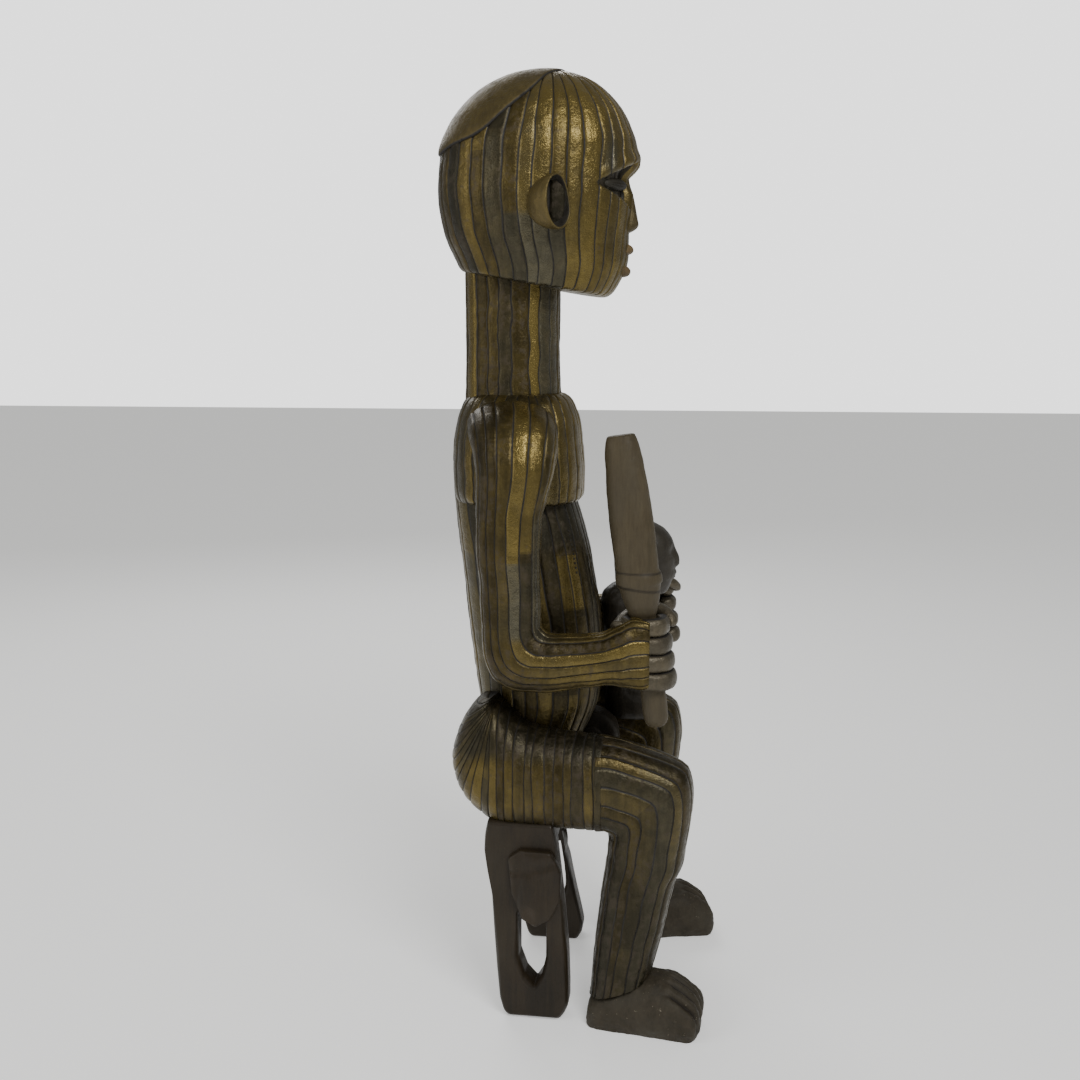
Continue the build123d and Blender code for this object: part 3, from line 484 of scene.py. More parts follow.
STRIPS = sheet_metal("strip brass", (0.023, 0.0168, 0.005), (0.160, 0.117, 0.032), (0.025, 0.022, 0.013),
                     (0.094, 0.086, 0.057), 0.36, 0.78)
SHEET = sheet_metal("hammered sheet brass", (0.042, 0.031, 0.010), (0.16, 0.118, 0.036),
                    (0.045, 0.04, 0.028), (0.13, 0.12, 0.085), 0.5, 0.65, 1.3)
HAND = sheet_metal("hand sheet", (0.038, 0.027, 0.012), (0.12, 0.088, 0.036), (0.036, 0.031, 0.021),
                   (0.115, 0.10, 0.07), 0.46, 0.6)
CLUB_WOOD = carved_wood("club wood", (0.026, 0.020, 0.010), (0.080, 0.062, 0.034), grey=0.35)
STOOL_WOOD = carved_wood("stool wood", (0.007, 0.0048, 0.002), (0.028, 0.019, 0.009), grey=0.15, specks=0.1,
                         coat=0.1)
FOOT_WOOD = carved_wood("foot wood", (0.013, 0.0105, 0.006), (0.052, 0.042, 0.027), (1, 1, 0.6), 0.6,
                        specks=1.0, grey=0.5)
CHILD_WOOD = carved_wood("child wood", (0.011, 0.009, 0.006), (0.036, 0.030, 0.021), (1, 1, 0.4), 0.48,
                         grey=0.5, coat=0.1)
LIP_WOOD = carved_wood("lip wood", (0.05, 0.034, 0.015), (0.16, 0.11, 0.05), (1, 1, 0.5), 0.5)
DARK_WOOD = carved_wood("dark wood", (0.010, 0.008, 0.005), (0.036, 0.029, 0.02), (1, 1, 0.5), 0.5, grey=0.5)


# --- Head -----------------------------------------------------------------------------------------
def sheathed(stations):
    """A sleeve drawn in by the thickness of its metal, so that the strips' faces keep the stations' size."""
    rows = np.array(stations)
    for first in (3, 6):
        size = np.linalg.norm(rows[:, first:first + 3], axis=1, keepdims=True)
        rows[:, first:first + 3] *= np.maximum(size - METAL_RISE, 0.5 * size) / size
    return Sleeve(rows)


HEAD_STATIONS = [(752, -66, 50, 50), (762, -70, 60, 55), (770, -74, 70, 59), (780, -78, 79.5, 63),
                 (798, -84, 87.5, 68), (838, -101, 93.5, 78),
                 (878, -107, 98.5, 83), (918, -104, 101, 82), (948, -91, 93, 73), (974, -66, 74, 56),
                 (990, -39, 51, 36),
                 (997, -16, 30, 18), (999.5, -2, 16, 7)]
HEAD = sheathed([level(z, back, front, half, 0, 2.2) for z, back, front, half in HEAD_STATIONS])
CHIN_LINE = ((-79.0, 797.0), (64.0, 770.0))
CAP_LINE = ((-101.5, 917.5), (17.5, 996.0))
EYE_REAR, EYE_FRONT = 50.0, 11.0      # turns from straight ahead, in degrees
EYE_LINE = 880.0
EYE_UP, EYE_DOWN = 26.0, 21.0

NOSE_STATIONS = [(836, 93, 5), (838, 98, 9), (841, 102.5, 11.5), (845, 104.5, 11.5), (851, 103.6, 9.5),
                 (862, 101.2, 7), (875, 98.2, 5.4), (885, 95, 4.6), (894, 93.5, 3.8)]
UPPER_LIP = ((18, 80, 814, 2, 1.5), (12, 86, 817, 6, 4), (5, 89.5, 820, 9, 5.6), (0, 90, 819, 9.2, 5.2))
LOWER_LIP = ((17, 80, 803, 2, 1.5), (11, 84, 800, 6, 4), (5, 87, 797.5, 8.6, 5.6), (0, 87.4, 797, 9, 5.8))
EAR_X, EAR_Y, EAR_Z = 30.0, 91.0, 860.0
LONGEST_RAY = 220.0        # longer than the head from inside it

dense = np.linspace(0, HEAD.length, 500)[:, None]
outline = HEAD.at(dense, np.array([[0.0, pi / 2, pi]]))
HEAD_TABLE = np.stack([outline[:, 0, 2], outline[:, 0, 0], outline[:, 2, 0], outline[:, 1, 1]])


def inside_head(points):
    """True where a point is inside the wood of the head."""
    front, back, half = (np.interp(points[..., 2], HEAD_TABLE[0], HEAD_TABLE[k]) for k in (1, 2, 3))
    x = (points[..., 0] - (front + back) / 2) / np.maximum((front - back) / 2, 0.1)
    y = points[..., 1] / np.maximum(half, 0.1)
    within = np.abs(x) ** 2.2 + np.abs(y) ** 2.2 < 1
    return within & (points[..., 2] < HEAD_TABLE[0, -1])


def reach_head(start, directions):
    """How far along each direction the head's surface is, by halving the span 26 times."""
    near = np.zeros(directions.shape[:-1])
    far = np.full(directions.shape[:-1], LONGEST_RAY)
    for _ in range(26):
        middle = (near + far) / 2
        held = inside_head(start + directions * middle[..., None])
        near, far = np.where(held, middle, near), np.where(held, far, middle)
    return near


def face_turn(points):
    """The turn from straight ahead, in degrees, as seen in the head's rounded section."""
    front, back, half = (np.interp(points[..., 2], HEAD_TABLE[0], HEAD_TABLE[k]) for k in (1, 2, 3))
    x = (points[..., 0] - (front + back) / 2) / ((front - back) / 2)
    return np.degrees(np.arctan2(np.abs(points[..., 1]) / half, x))


def eye_hollow(points):
    """From 0 to 1 inside the three-cornered hollow of the eye, and the share of the way to the nose."""
    turn = face_turn(points)
    share = np.clip((EYE_REAR - turn) / (EYE_REAR - EYE_FRONT), 0, 1.15)
    upper = EYE_LINE + EYE_UP * share ** 0.85
    lower = EYE_LINE - EYE_DOWN * share
    height = points[..., 2]
    inside = smooth(-0.6, 1.6, upper - height) * smooth(-0.5, 2.5, height - lower)
    return inside * smooth(0.0, 0.12, share) * smooth(EYE_FRONT - 5, EYE_FRONT + 1, turn), share


def face_form(points, outward):
    """Eye hollows under a brow ledge, a raised mouth and rounded cheeks, then the flat slanting underside."""
    hollow, share = eye_hollow(points)
    turn = face_turn(points)
    height = points[..., 2]
    root = bump(height, 888.5, 9) * smooth(27, 8, turn) * 7.0
    ledge = bump(height, 905, 9) * smooth(44, 12, turn) * 3.4
    brow = bump(height, EYE_LINE + EYE_UP * share ** 0.85 + 5, 7) * smooth(52, 30, turn) * 2.6
    mouth = bump(height, 808, 24) * bump(turn, 0, 20) * 3.2
    cheek = bump(height, 850, 26) * bump(turn, 32, 18) * 1.5
    push = brow + ledge - root + mouth + cheek - hollow * (3.0 + 9.0 * share)
    moved = points + outward * push[..., None]
    (x1, z1), (x2, z2) = CHIN_LINE
    plane = z1 + (z2 - z1) * (np.minimum(moved[..., 0], 70) - x1) / (x2 - x1)
    gap = moved[..., 2] - plane
    moved[..., 2] = plane + np.where(gap > 6, gap, 6 * np.exp(np.minimum(gap, 6) / 6 - 1))
    return moved


def head_paint(middle, number, tone, warmth):
    """Strong gold from the ear forwards over the cheek, grey under the ear and dull eye hollows, with painted
    shade inside the ears and a painted highlight on the upper forehead.
    """
    x, z = middle[..., 0], middle[..., 2]
    turn = by_strip(face_turn(middle), number)
    front = smooth(88, 66, turn)
    grey = smooth(64, 72, turn) * smooth(108, 98, turn) * smooth(856, 846, z)
    back = smooth(110, 135, turn)
    tone = tone * (1 - 0.5 * front) + 0.36 * front
    tone = tone * (1 - 0.25 * back) - 0.03 * back
    warmth = warmth * (1 - 0.6 * front) + 0.47 * front
    # Painted highlight: the top of the forehead is made lighter and warmer.
    crown = smooth(925, 975, z) * smooth(-10, 30, x)
    tone, warmth = tone + 0.14 * crown, warmth + 0.25 * crown
    silver = bump(x, 80, 7) * bump(z, 905, 24) * front
    warmth = warmth * (1 - 0.7 * silver) * (1 - 0.85 * grey) + 0.12 * grey
    tone = tone + 0.14 * silver - 0.04 * grey
    # Painted shade: the head's surface inside each ear cup is made almost black.
    ear_shade = smooth(1.0, 0.85, np.hypot((x - EAR_X + 10) / 21, (z - EAR_Z) / 25))
    ear_shade = ear_shade * smooth(60, 70, np.abs(middle[..., 1]))
    tone, warmth = tone * (1 - 0.95 * ear_shade), warmth * (1 - 0.5 * ear_shade)
    hollow = eye_hollow(middle)[0] > 0.5
    return np.where(hollow, 0.06, tone), np.where(hollow, 0.02, warmth)


def crown_cap():
    """The cap: rays from the middle of its rim plane to the head, let out by its rise, its edge turned in."""
    (x1, z1), (x2, z2) = CAP_LINE
    start = np.array([(x1 + x2) / 2, 0.0, (z1 + z2) / 2])
    along = np.array([x2 - x1, 0.0, z2 - z1]) / np.hypot(x2 - x1, z2 - z1)
    up = np.array([-along[2], 0.0, along[0]])
    polar = np.radians(np.concatenate([np.linspace(1.0, 86, 64), [87.5, 88.8, 89.8, 90.8, 91.6]]))[:, None]
    lift = np.concatenate([np.full(64, 3.6), [3.5, 3.3, 2.6, 1.2, -1.5]])[:, None]
    round_ = np.linspace(0, 2 * pi, 200, endpoint=False)[None, :]
    wave = 1.1 * np.sin(round_ * 3 + 1) + 0.7 * np.sin(round_ * 7 + 2)
    polar = polar * (1 + 0.13 * np.sin(round_) ** 2) + np.radians(wave) * smooth(pi / 4, pi / 2, polar)
    rays = (up * np.cos(polar)[..., None] + along * (np.sin(polar) * np.cos(round_))[..., None]
            + np.array([0, 1.0, 0]) * (np.sin(polar) * np.sin(round_))[..., None])
    points = start + rays * (reach_head(start, rays) + METAL_RISE)[..., None]
    dents = 0.4 * lumps(points, 30.0, 301) + 0.12 * lumps(points, 8.0, 302)
    points = points + rays * (lift + dents)[..., None]
    # Painted shadow: the cap's turned-in rim is darkened all round.
    edge = np.broadcast_to(np.concatenate([np.zeros(65), [0.3, 0.75, 1.0, 1.0]])[:, None], points.shape[:2])
    return grid(points, 0.42 + 0.1 * lumps(points[:-1], 30, 9), 0.85, edge)


def bowl(centre, mouth, high, wide, depth, wall):
    """An ear: half an egg-shaped bowl with a rolled rim. A point is centre - mouth * depth * cos + (up * high
    + across * wide) * sin, out along the outer wall, over the rim and back down the inner wall."""
    mouth = np.array(mouth) / np.linalg.norm(mouth)
    up = np.array([0, 0, 1.0]) - mouth * mouth[2]
    up /= np.linalg.norm(up)
    side = np.cross(mouth, up)
    turn = np.radians(np.concatenate([np.linspace(2, 88, 26), [92, 94, 92], np.linspace(88, 2, 26)]))[:,
                                                                                                      None]
    inner = np.concatenate([np.zeros(26), [0.1, 0.5, 0.9], np.ones(26)])[:, None] * wall
    round_ = np.linspace(0, 2 * pi, 72, endpoint=False)[None, :]
    flat = 1 - 0.18 * smooth(0.2, 1.0, -np.cos(round_ - 2.4))
    out = (high - inner) * np.sin(turn)
    points = (np.array(centre) - mouth * ((depth - inner) * np.cos(turn) + 0 * round_)[..., None]
              + up * (out * np.cos(round_))[..., None]
              + side * ((wide - inner) * np.sin(turn) * np.sin(round_) * flat)[..., None])
    points = points + mouth * (hammered(points, 77, 0.7) * (inner < wall / 2))[..., None]
    hollow = np.broadcast_to(inner / wall, points.shape[:2])
    return points, hollow


def build_head():
    skin = strip_skin(HEAD, 38, 11, shape=face_form, paint=head_paint, gold=0.1, grey=0.1, longest=260,
                      spread=0.12, wander=0.035, pitch=2.2)
    strips = ["face_strips", "right_temple_strips", "left_temple_strips", "nape_strips"]
    piece("head_sheathing", [skin], STRIPS, ["head_core"] + strips)
    piece("crown_cap_sheet", [crown_cap()], SHEET, ["crown_cap"])
    for side, name in ((-1, "right_ear"), (1, "left_ear")):
        points, hollow = bowl((EAR_X, side * EAR_Y, EAR_Z), (0.86, side * 0.51, 0.04), 27, 21, 35, 2.4)
        # Painted shade: the inner wall of each ear cup is made dark.
        inner = hollow[:-1] > 0.6
        tone, warmth = np.where(inner, 0.1, 0.5), np.where(inner, 0.25, 0.85)
        patch = grid(points, tone, warmth, smooth(0.6, 1.0, hollow) * 0.62)
        piece(name + "_cup", [patch], SHEET, [name])
    nose = Sleeve([level(z, 84, front, half, 0, 2.3) for z, front, half in NOSE_STATIONS])
    piece("nose", [ridge(nose, 0.3, 0.7, 40)], SHEET, ["nose_ridge"])
    for name, rows in (("upper_lip", UPPER_LIP), ("lower_lip", LOWER_LIP)):
        whole = [(-y, *rest) for y, *rest in rows] + list(rows[-2::-1])
        lip = Sleeve([[x, y, z, thick, 0, 0, 0, 0, tall, 2.2] for y, x, z, thick, tall in whole])
        piece(name + "_carved", [ridge(lip, 0.45, 0.5, 30)], LIP_WOOD, [name])
    for side, name in ((-1, "right_eye"), (1, "left_eye")):
        lids = []
        for high, deep, drop, long_ in ((6.6, 6.5, 0.0, 15.0), (2.6, 8.2, -0.4, 12.0)):
            rows = []
            for share in (-1.0, -0.8, -0.4, 0.0, 0.4, 0.8, 1.0):
                turn = radians(25.0 + share * long_)
                body = max(0.04, 1 - share * share) ** 0.5
                x, y = -3.0 + 94.0 * cos(turn), side * 81.0 * sin(turn)
                out = np.array([cos(turn), side * sin(turn), 0.0])
                rows.append([x, y, EYE_LINE + 1.5 + drop, *(out * deep * body), 0, 0, high * body, 2.0])
            lids.append(ridge(Sleeve(rows), 0.2, 0.1, 36))
        piece(name + "_inlay", lids, DARK_WOOD, [name])


def ridge(sleeve, tone, warmth, columns=48, pitch=1.6, dents=0.25, seed=41, form=None, grime_and_shade=None):
    """A plain carved surface over a sleeve, with small tool marks."""
    rows = max(8, int(sleeve.length / pitch))
    along = np.linspace(0, sleeve.length, rows)[:, None] * np.ones((1, columns))
    turn = np.linspace(0, 2 * pi, columns, endpoint=False)[None, :] * np.ones((rows, 1))
    points = sleeve.at(along, turn)
    outward = sleeve.outward(along, turn)
    cuts = lumps(points, 7.0, seed) + 0.6 * lumps(points, 2.8, seed + 1) + 1.2 * lumps(points, 19.0,
                                                                                       seed + 2)
    rise = dents * cuts
    if form is not None:
        rise = rise + form(points, outward)
    # A darkening given here is painted shade: between the fingers, at the club's collar and in the toe
    # grooves.
    shade_mask = 0.0 if grime_and_shade is None else grime_and_shade(points)
    return grid(points + outward * rise[..., None], tone, warmth, shade_mask)


# --- Neck, chest and belly ------------------------------------------------------------------------
def neck_paint(middle, number, tone, warmth):
    """One bright gold strip and one silver one down the front of each side, browns behind."""
    x = by_strip(middle[..., 0], number)
    gold, silver = bump(x, -3, 6.5), bump(x, 11, 5)
    tone = np.clip(tone * 0.85 * (1 - gold) + 0.95 * gold + 0.2 * silver, 0, 1)
    return tone, np.clip(warmth * (1 - gold) * (1 - 0.7 * silver) + 0.95 * gold, 0, 1)


def build_trunk():
    neck = sheathed([level(z, back, front, half) for z, back, front, half in (
        (655, -80, 24, 48), (672, -79.5, 22, 46), (700, -79, 21, 45.5), (740, -79, 21, 45.5),
        (800, -79, 21.5, 45.5))])
    skin = strip_skin(neck, 22, 21, paint=neck_paint, longest=400, grey=0.15, spread=0.2)
    piece("neck_sheathing", [skin], STRIPS, ["neck_core", "neck_strips"])
    chest = sheathed([level(z, back, front, half, 0, 2.5) for z, back, front, half in (
        (572, -78, 34, 64), (560, -84, 40, 70), (556, -87, 43.5, 74), (558, -89, 46.5, 77),
        (565, -91.5, 48, 79),
        (588, -92.5, 48.4, 79), (617, -91, 45.5, 78), (640, -87.5, 43, 74), (655, -83, 38, 66),
        (664, -78, 32.5, 56),
        (668.5, -70, 24, 44), (669, -50, 4, 22))])
    skin = strip_skin(chest, 30, 23, longest=320, gold=0.12, grey=0.12, spread=0.14, paint=chest_paint,
                      wander=0.05)
    piece("chest_sheathing", [skin], STRIPS, ["chest_strips", "upper_back_strips"])
    belly = sheathed([level(z, back, front, half, 0, 2.5) for z, back, front, half in (
        (270, -57, 40, 54), (293, -61, 49, 57), (310, -63, 56.8, 59), (340, -66.5, 67.8, 62),
        (385, -73, 69.8, 62.5),
        (409, -76, 69.3, 62.5), (431, -78.5, 67.3, 62.5), (465, -82, 61.3, 62.5), (498, -86, 55.6, 62),
        (531, -89.8, 47.7, 61),
        (556, -92, 40, 60), (575, -93, 34, 58), (590, -91, 28, 50))])
    skin = strip_skin(belly, 30, 29, longest=210, gold=0.1, grey=0.34, spread=0.18, paint=belly_paint)
    piece("belly_sheathing", [skin], STRIPS, ["torso_core", "belly_strips", "lower_back_strips"])
    dots = nail_heads(belly, 0.66, 0.80, 10, radians(40))
    piece("nail_heads", dots, STRIPS, ["nails"])
    hips = Sleeve([section((x, low), (x, high), half) for x, low, high, half in (
        (-66, 262, 300, 8), (-60, 240, 322, 20), (-42, 224, 336, 28), (-10, 219, 322, 31),
        (25, 219, 306, 31), (42, 226, 296, 29), (50, 240, 284, 20))])
    piece("hips_carved", [ridge(hips, 0.35, 0.5, 60, 2.5, 0.5)], DARK_WOOD, ["hip_core"])


def chest_paint(middle, number, tone, warmth):
    """Gold along the front of the shoulders, lighter there as a painted highlight, and darker on the back as
    painted shade.
    """
    x = middle[..., 0]
    warmth = np.maximum(warmth, 0.55)
    # Painted highlight on the front, painted shade on the back.
    return np.where(x > 10, 0.45 + 0.35 * tone, 0.85 * tone), np.where(x > 10, warmth, 0.8 * warmth)


def belly_paint(middle, number, tone, warmth):
    """Dull strips beside the arm, a gold length low on the front and a pale gold one above the lap."""
    x, z = by_strip(middle[..., 0], number), middle[..., 2]
    gold = bump(x, 42, 8) * smooth(440, 446, z) * smooth(504, 498, z)
    lap = bump(x, 30, 7) * smooth(352, 346, z)
    waist = smooth(500, 520, z) * smooth(-20, 0, x)
    tone = tone * 0.85 * (1 - gold - lap) + 0.8 * gold + 0.75 * lap
    return np.clip(tone, 0, 1), np.clip(warmth * (0.85 - 0.5 * waist) + 0.4 * gold, 0, 1)


def nail_heads(sleeve, start, end, count, turn):
    """Low round heads down a seam on both sides: small domes of eight sides."""
    heads = []
    ring = np.linspace(0, 2 * pi, 8, endpoint=False)
    for side in (-1, 1):
        for share in np.linspace(start, end, count):
            along, round_ = np.full((1, 1), share * sleeve.length), np.full((1, 1), side * turn)
            middle, outward = sleeve.at(along, round_)[0, 0], sleeve.outward(along, round_)[0, 0]
            first = np.cross(outward, [0, 0, 1.0])
            first /= np.linalg.norm(first)
            second = np.cross(outward, first)
            rim = first * np.cos(ring)[:, None] + second * np.sin(ring)[:, None]
            rows = [middle + outward * (METAL_RISE + up) + rim * radius
                    for radius, up in ((1.3, -0.4), (1.3, 0.3), (0.8, 0.75), (0.2, 0.9))]
            heads.append(grid(np.array(rows), 0.1, 0.4, 0.6))
    return heads


# --- Arms -----------------------------------------------------------------------------------------
ELBOW = (26.0, 438.0)
ARM_SIDE = 100.5           # the arm's axis from the middle plane
RIGHT_GRIP, LEFT_GRIP = -88.0, 106.0


def arm_sleeve(side, grip):
    """From the neck base over the shoulder, down the upper arm, round the elbow and along to the wrist."""
    rows = [[x, side * y, z, across, 0, 0, 0, side * out, up, 2.3] for x, y, z, across, out, up in (
        (-23, 30, 638, 46, 2, 26), (-22, 54, 636, 47, 8, 27), (-17, 76, 627, 46, 16, 27),
        (-13, 91, 612, 43, 24, 20),
        (-12, 98.5, 594, 40, 28.5, 8))]
    y = side * ARM_SIDE
    rows += [level(z, back, front, side * half, y, 2.4) for z, back, front, half in (
        (572, -51, 22, 27.5), (545, -51, 16, 27), (512, -51, 14.6, 26.5), (480, -48, 14.6, 26),
        (452, -46.7, 14.6, 25.7))]
    rows += [fan(ELBOW, angle, near, far, side * 25.7, y, 2.5) for angle, near, far in (
        (180, 11.4, 72), (203, 11, 76), (225, 10.5, 83.5), (248, 10.5, 77), (270, 10.5, 70.5))]
    rows += [section((x, low), (x, high), side * half, y, 2.5) for x, low, high, half in (
        (42, 370, 427.8, 25), (64, 374, 428.5, 24.3), (80, 376.5, 431, 24.4), (90, 376.5, 436, 24.8))]
    rows += [section((x, low), (x, high), side * half, side * (ARM_SIDE + out) + (grip - y) * lean, 2.6)
             for x, low, high, lean, out, half in (
        (100, 375.5, 442, 0, 1.5, 24.2), (107, 375, 446.5, 0.1, 3.5, 21), (114, 374.5, 448, 0.2, 8.5, 15),
        (121, 375, 447.5, 0.3, 13.5, 9.5), (127, 377, 445, 0.35, 15.5, 5.5))]
    return sheathed(rows)


def arm_paint(middle, number, tone, warmth):
    """A bright strip down the front of the shoulder, pewter lengths above the elbow, gold on the forearm."""
    upper = (middle[:, 0, 2] > 470) & (middle[:, 0, 2] < 600)
    x, y = by_strip(middle[..., 0], number, upper), by_strip(np.abs(middle[..., 1]), number, upper)
    z, ahead = middle[..., 2], smooth(15, 40, middle[..., 0])
    outer = smooth(96, 104, y) * (1 - ahead)
    gold = 0.75 * bump(x, -2, 9) * outer * smooth(512, 518, z)
    pewter = bump(x, -6, 15) * outer * smooth(507, 502, z) * smooth(420, 430, z)
    edge = bump(x, 12, 5) * outer * smooth(560, 540, z)
    brown = smooth(-20, -30, x) * (1 - ahead)
    tone = tone * (1 - 0.35 * brown) * (1 - gold) + 0.97 * gold + 0.16 * pewter + 0.2 * edge + 0.1 * ahead
    warmth = warmth * (1 - 0.75 * pewter) * (1 - 0.6 * edge) + 0.3 * gold + 0.08 * brown
    return np.clip(tone, 0, 1), np.clip(warmth, 0, 1)


def build_arms():
    for side, name, grip in ((-1, "right", RIGHT_GRIP), (1, "left", LEFT_GRIP)):
        skin = strip_skin(arm_sleeve(side, grip), 17, 31 + side, longest=150, gold=0.1, grey=0.22,
                          paint=arm_paint, dents=1.25, spread=0.2, pitch=2.4)
        covered = ("_arm_core", "_upper_arm_strips", "_elbow_cap", "_forearm_strips", "_palm")
        piece(name + "_arm_sheathing", [skin], STRIPS, [name + tail for tail in covered])


# --- Hands and club -------------------------------------------------------------------------------
LEAN = radians(7.8)
GRIP_X, GRIP_LOW, FINGER_PITCH = 124.5, 373.5, 18.6
TAIL = 13.2


def grip_x(z):
    return GRIP_X - (z - GRIP_LOW - 2 * FINGER_PITCH) * np.tan(LEAN)


def finger(z, y, side, round_by, thick, tall, begin, end):
    """A finger: a flattened section carried on an arc round the grip, with a bulge at each joint."""
    rows = []
    for turn in np.linspace(begin, end, 15):
        joint = bump(turn, 250, 16) + bump(turn, 318, 14) + 0.7 * bump(turn, 382, 14)
        tip = 1 - 0.55 * smooth(end - 26, end, turn)
        bend = radians(turn)
        out = np.array([cos(bend), -side * sin(bend), 0.0])
        middle = np.array([grip_x(z), y, z]) + out * round_by
        rows.append([*middle, *(out * (thick + 0.9 * joint) * tip), 0, 0, (tall + 0.5 * joint) * tip, 2.6])
    return Sleeve(rows)


THUMB = ((94, -14, 436, 8.5), (104, 6, 443, 9), (116, 20, 448, 8.6), (129, 22.5, 450, 8.2),
         (141, 17, 447, 7.6),
         (148, 9, 441, 6.4), (150.5, 5, 437.5, 3.2))


def thumb_sleeve(side, y):
    """The thumb over the top of the fist: round sections square to the line through their middles."""
    rows = []
    for number, (x, inward, z, size) in enumerate(THUMB):
        before, after = THUMB[max(number - 1, 0)], THUMB[min(number + 1, len(THUMB) - 1)]
        run = np.array([after[0] - before[0], -side * (after[1] - before[1]), after[2] - before[2]])
        across = np.cross(run, [0, 0, 1.0])
        across /= np.linalg.norm(across)
        up = np.cross(across, run)
        up /= np.linalg.norm(up)
        rows.append([x, y - side * inward, z, *(across * size), *(up * size * 0.92), 2.1])
    return Sleeve(rows)


def build_hands():
    for side, name, y, round_by, thick in ((-1, "right", RIGHT_GRIP, 20.6, 6.6),
                                           (1, "left", LEFT_GRIP, 16.0, 9.6)):
        patches = []
        for number in range(4):
            z = GRIP_LOW + FINGER_PITCH * (number + 0.5)
            begin, end = 178 + 4 * number, 428 - 6 * abs(number - 1.5)
            sleeve = finger(z, y, side, round_by - 0.4 * abs(number - 1.5), thick, 9.1, begin, end)
            # Painted shade: each finger is darker along its upper and lower edges, where it meets its
            # neighbours.
            patches.append(ridge(sleeve, 0.45 + 0.08 * (number % 2), 0.3, 40, 1.8, 0.35, 60 + number,
                                 grime_and_shade=lambda points, z=z: smooth(7.5, 9.4, np.abs(points[..., 2] - z))
                                 * 0.9))
        patches.append(ridge(thumb_sleeve(side, y), 0.5, 0.35, 36, 1.8, 0.3, 75))
        piece(name + "_hand_sheathing", patches, HAND, [name + "_fingers"])


# Height, half breadth, and thickness as a share of the breadth.
CLUB_STATIONS = [(632.3, 9, 0.8), (632, 13.2, 0.8), (630.5, 14.6, 0.8), (620, 17.4, 0.8), (597, 19.8, 0.8),
                 (565, 21.8, 0.8), (530, 22.4, 0.8), (500, 22.2, 0.82), (493, 22.0, 0.83),
                 (490.5, 23.4, 0.85),
                 (486, 23.9, 0.86), (481, 23.6, 0.87), (478.5, 21.6, 0.9), (468, 19.4, 0.94),
                 (456, 16.4, 1.0),
                 (449, 14.4, 1.0), (446, TAIL, 1.0), (420, TAIL, 1.0), (380, TAIL, 1.0), (350, TAIL, 1.0),
                 (340, 12.6, 1.0), (334, 10.4, 1.0), (331, 7.4, 1.0), (330, 3.5, 1.0)]


def collar_shade(points):
    """Painted shade under the collar, along a slightly tilted line, and in the step above it."""
    tilted = points[..., 2] + 0.12 * (points[..., 0] - 114)
    return 0.8 * (bump(tilted, 476.5, 2.2) + bump(points[..., 2], 493, 1.8))


def build_club():
    """The club down its leaning axis: flat top, flattened blade, collar, cup and a round tail."""
    slant = np.array([cos(LEAN), 0, sin(LEAN)])
    rows = [[grip_x(z), RIGHT_GRIP, z, *(slant * half), 0, half * flat, 0, 2.15] for z, half,
            flat in CLUB_STATIONS]
    shape = ridge(Sleeve(rows), 0.5, 0.5, 72, 1.7, 0.3, 81, grime_and_shade=collar_shade)
    piece("club_carved", [shape], CLUB_WOOD, ["club"], "club")


# --- Legs and feet --------------------------------------------------------------------------------
SEAT = 212.0
KNEE_SIDE = 79.0           # a knee's middle from the middle plane
BUTTOCK = (-35.0, 352.0)
KNEE_HOLLOW = (94.0, 204.0)      # the knee's depth, and the height of the hollow behind it
SHIN_METAL = ((0.0, 29.0), (68.0, 56.0))


def thigh_sleeve(side, reach, rise):
    """Turning under the buttock from its top to the seat, then forward to the knee."""
    rows = [fan(BUTTOCK, angle, near, far, half, side * y, 2.5) for angle, near, far, half, y in (
        (196, 2, 12, 22, 58), (202, 2, 24, 33, 60), (214, 2, 41, 40, 62), (226, 2, 63, 46, 63),
        (235, 3, 83.5, 49, 64),
        (244, 3, 101.5, 50, 64), (253, 3, 118, 50, 64), (262.5, 4, 130.6, 49, 65), (270, 5, 140, 48, 67))]
    stretch = (reach - KNEE_HOLLOW[0]) / 80
    rows += [section((x * stretch, low + rise * x / 80), (x * stretch, high + rise * x / 80), half,
                     side * y, 2.5)
             for x, low, high, half, y in (
        (0, 211, 320, 46, 70), (26, 212, 316, 41.6, 75), (57, 212, 314, 39.3, 78), (80, 212, 312, 38, 79))]
    return sheathed(rows)


def shin_sleeve(side, reach, rise, heel, drift):
    """Over the knee and down the shin to the ankle, the back of the leg first."""
    hollow = reach - KNEE_HOLLOW[0]
    pivot = (hollow, KNEE_HOLLOW[1] + rise)
    rows = [section((hollow - 7, 211.6 + rise), (hollow - 7, 312.7 + rise), 38.6, side * KNEE_SIDE, 2.5)]
    rows += [fan(pivot, angle, far, near, 37, side * KNEE_SIDE, 2.6) for angle, near, far in (
        (84, 8, 107.5), (68, 8, 107), (53, 8, 113), (41, 8, 118), (29, 8, 107.5), (15, 7, 95.5), (0, 6, 89))]
    start, end = hollow + 3.5, heel + 0.5
    for height, lean, depth in ((180, 0, 82), (159, 0.16, 75.5), (125, 0.44, 73.2), (91, 0.69, 69.3),
                                (56, 0.875, 64.2), (21, 1, 59.5)):
        back = start + (end - start) * lean
        y = side * (KNEE_SIDE + drift * (0.85 - height / SEAT))
        rows.append(level(height * (1 + rise / SEAT), back, back + depth, 34.2, y, 2.6))
    return sheathed(rows)


